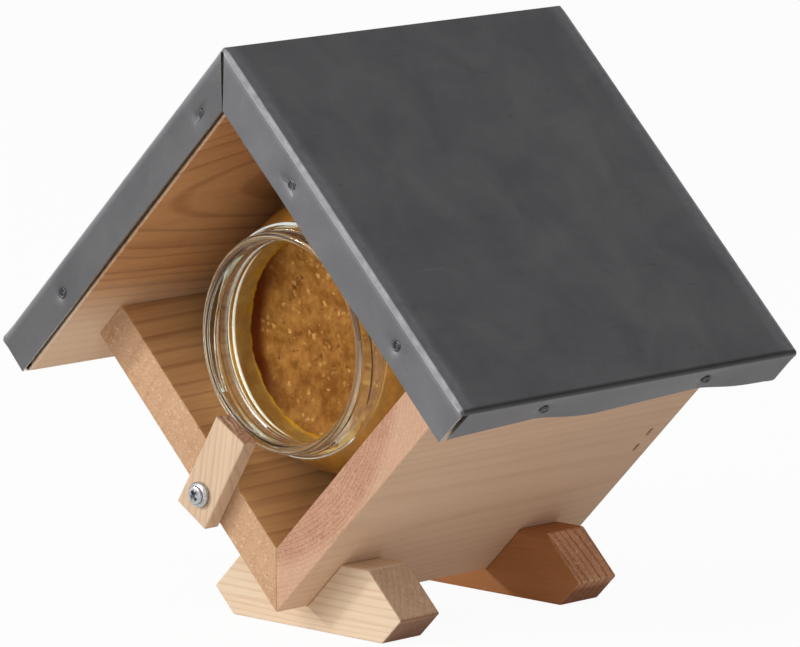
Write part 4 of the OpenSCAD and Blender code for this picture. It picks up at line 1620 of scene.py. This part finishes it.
@dataclass
class PlainFasteners:
    """Brads and foot screws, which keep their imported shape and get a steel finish."""

    steel: bpy.types.Material
    nodes: tuple[str, ...] = ("ridge_brads", "left_roof_brads", "right_roof_brads", "roof_back_brads",
                              "left_back_brads", "right_back_brads", "v_joint_brads",
                              "front_foot_screws", "rear_foot_screws")

    def dress(self) -> None:
        """Gives each group its finish."""
        for node in self.nodes:
            obj = frame["nodes"][node]
            obj.data.materials.clear()
            obj.data.materials.append(self.steel)
            LOG.info("%s keeps its packed shape", node)


@dataclass(frozen=True)
class PhotoCamera:
    """The camera at the photograph's place, worked out from the object's corners."""

    target: Place = (-1.73, 3.12, 79.44)
    distance: float = 1880.9
    azimuth: float = 44.345
    elevation: float = 9.325
    roll: float = -0.191
    focal_pixels: float = 6856.7
    image_width: float = 800.0
    sensor: float = 36.0

    def build(self) -> bpy.types.Object:
        """Makes the camera and gives it to the scene."""
        data = bpy.data.cameras.new("photo_camera")
        data.sensor_width = self.sensor
        data.lens = self.focal_pixels * self.sensor / self.image_width
        data.clip_start, data.clip_end = 0.1, 20.0
        camera = new_object("photo_camera", data)
        around, up, roll = (math.radians(x) for x in (self.azimuth, self.elevation, self.roll))
        back = Vector((math.sin(around) * math.cos(up), -math.cos(around) * math.cos(up), math.sin(up)))
        right = Vector((math.cos(around), math.sin(around), 0))
        above = back.cross(right)
        across = math.cos(roll) * right + math.sin(roll) * above
        upright = math.cos(roll) * above - math.sin(roll) * right
        turn = Matrix((across, upright, back)).transposed().to_4x4()
        spot = (Vector(self.target) + self.distance * back) * MM
        camera.matrix_world = Matrix.Translation(spot) @ turn
        bpy.context.scene.camera = camera
        return camera


@dataclass
class Studio:
    """White paper floor, soft lamps and a white surround, dimmer behind and to the right of the object."""

    paper: bpy.types.Material
    bright_side: Place = (-0.15, -0.95, 0.0)
    reach: float = 6.0
    ambient: float = 0.4
    dim: float = 0.3
    aim: Place = (0.0, 0.0, 0.08)

    def build(self) -> None:
        """Builds the floor, the lamps and the surround."""
        bm = bmesh.new()
        bmesh.ops.create_circle(bm, cap_ends=True, segments=64, radius=self.reach / MM)
        floor = object_from(bm, "studio_floor", self.paper)
        self.lamp("key_lamp", (-0.44, -1.7, 1.0), (1.2, 1.2), 18.0)
        self.lamp("side_lamp", (-1.16, -1.51, 0.67), (0.2, 0.2), 11.0)
        self.lamp("right_lamp", (1.7, -0.7, 0.3), (1.3, 0.4), 4.6).visible_glossy = False
        self.surround()
        bpy.context.scene.view_settings.view_transform = "Standard"

    def lamp(self, name: str, at: Place, size: tuple[float, float], power: float) -> bpy.types.Object:
        """Makes a soft lamp that faces the object.

        Args:
            name: Name of the lamp.
            at: Its place in metres.
            size: Its width and height in metres.
            power: Its power in watts.

        Returns:
            The lamp.
        """
        data = bpy.data.lights.new(name, "AREA")
        data.shape = "RECTANGLE"
        data.size, data.size_y = size
        data.energy = power
        lamp = new_object(name, data)
        lamp.location = at
        lamp.rotation_euler = (Vector(self.aim) - Vector(at)).to_track_quat("-Z", "Y").to_euler()
        return lamp

    def surround(self) -> None:
        """Makes the world: white where it is seen, dimmer behind in gloss, and a softer light."""
        world = bpy.data.worlds.new("white_surround")
        world.use_nodes = True
        bpy.context.scene.world = world
        tree = world.node_tree
        add = partial(add_node, tree)
        ways = add("ShaderNodeVectorMath", {0: add("ShaderNodeTexCoord").outputs["Generated"],
                                            1: self.bright_side}, operation="DOT_PRODUCT")
        gloss = add("ShaderNodeMapRange", {"Value": ways, "From Min": -0.3, "From Max": 0.4,
                                           "To Min": self.dim, "To Max": 1.0})
        rays = add("ShaderNodeLightPath").outputs
        lit = add("ShaderNodeMix", {0: rays["Is Glossy Ray"], 2: self.ambient, 3: gloss})
        strength = add("ShaderNodeMix", {0: rays["Is Camera Ray"], 2: lit, 3: 1.0})
        set_inputs(tree.nodes["Background"], {"Color": (1, 1, 1, 1), "Strength": strength})


def main() -> None:
    """Builds the feeder piece by piece, then the studio round it."""
    logging.basicConfig(level=logging.INFO, format="%(name)s: %(message)s")
    house = HouseSizes.from_frame()
    PhotoCamera().build()
    steel = BrightMetal("zinc_plated_steel", "#C2C4C7", "#8E9093", 0.24).material()
    # Nail steel darker than bare steel: partly painted shade of the pits that the heads sit in
    shaded_nail_steel = BrightMetal("shaded_nail_steel", "#5E5F62", "#242426", 0.26).material()
    cut_zinc = BrightMetal("cut_zinc_edge", "#A6A49E", "#757471", 0.4).material()
    roof = FoldedRoof(house, WeatheredZinc(house).material(), cut_zinc, shaded_nail_steel)
    WoodenHouse(house, roof.pits()).build()
    roof.build()
    TurnButton(steel).build()
    FilledJar(JarGlass().material()).build()
    PlainFasteners(steel).dress()
    Studio(StudioPaper().material()).build()


if __name__ == "__main__":
    main()
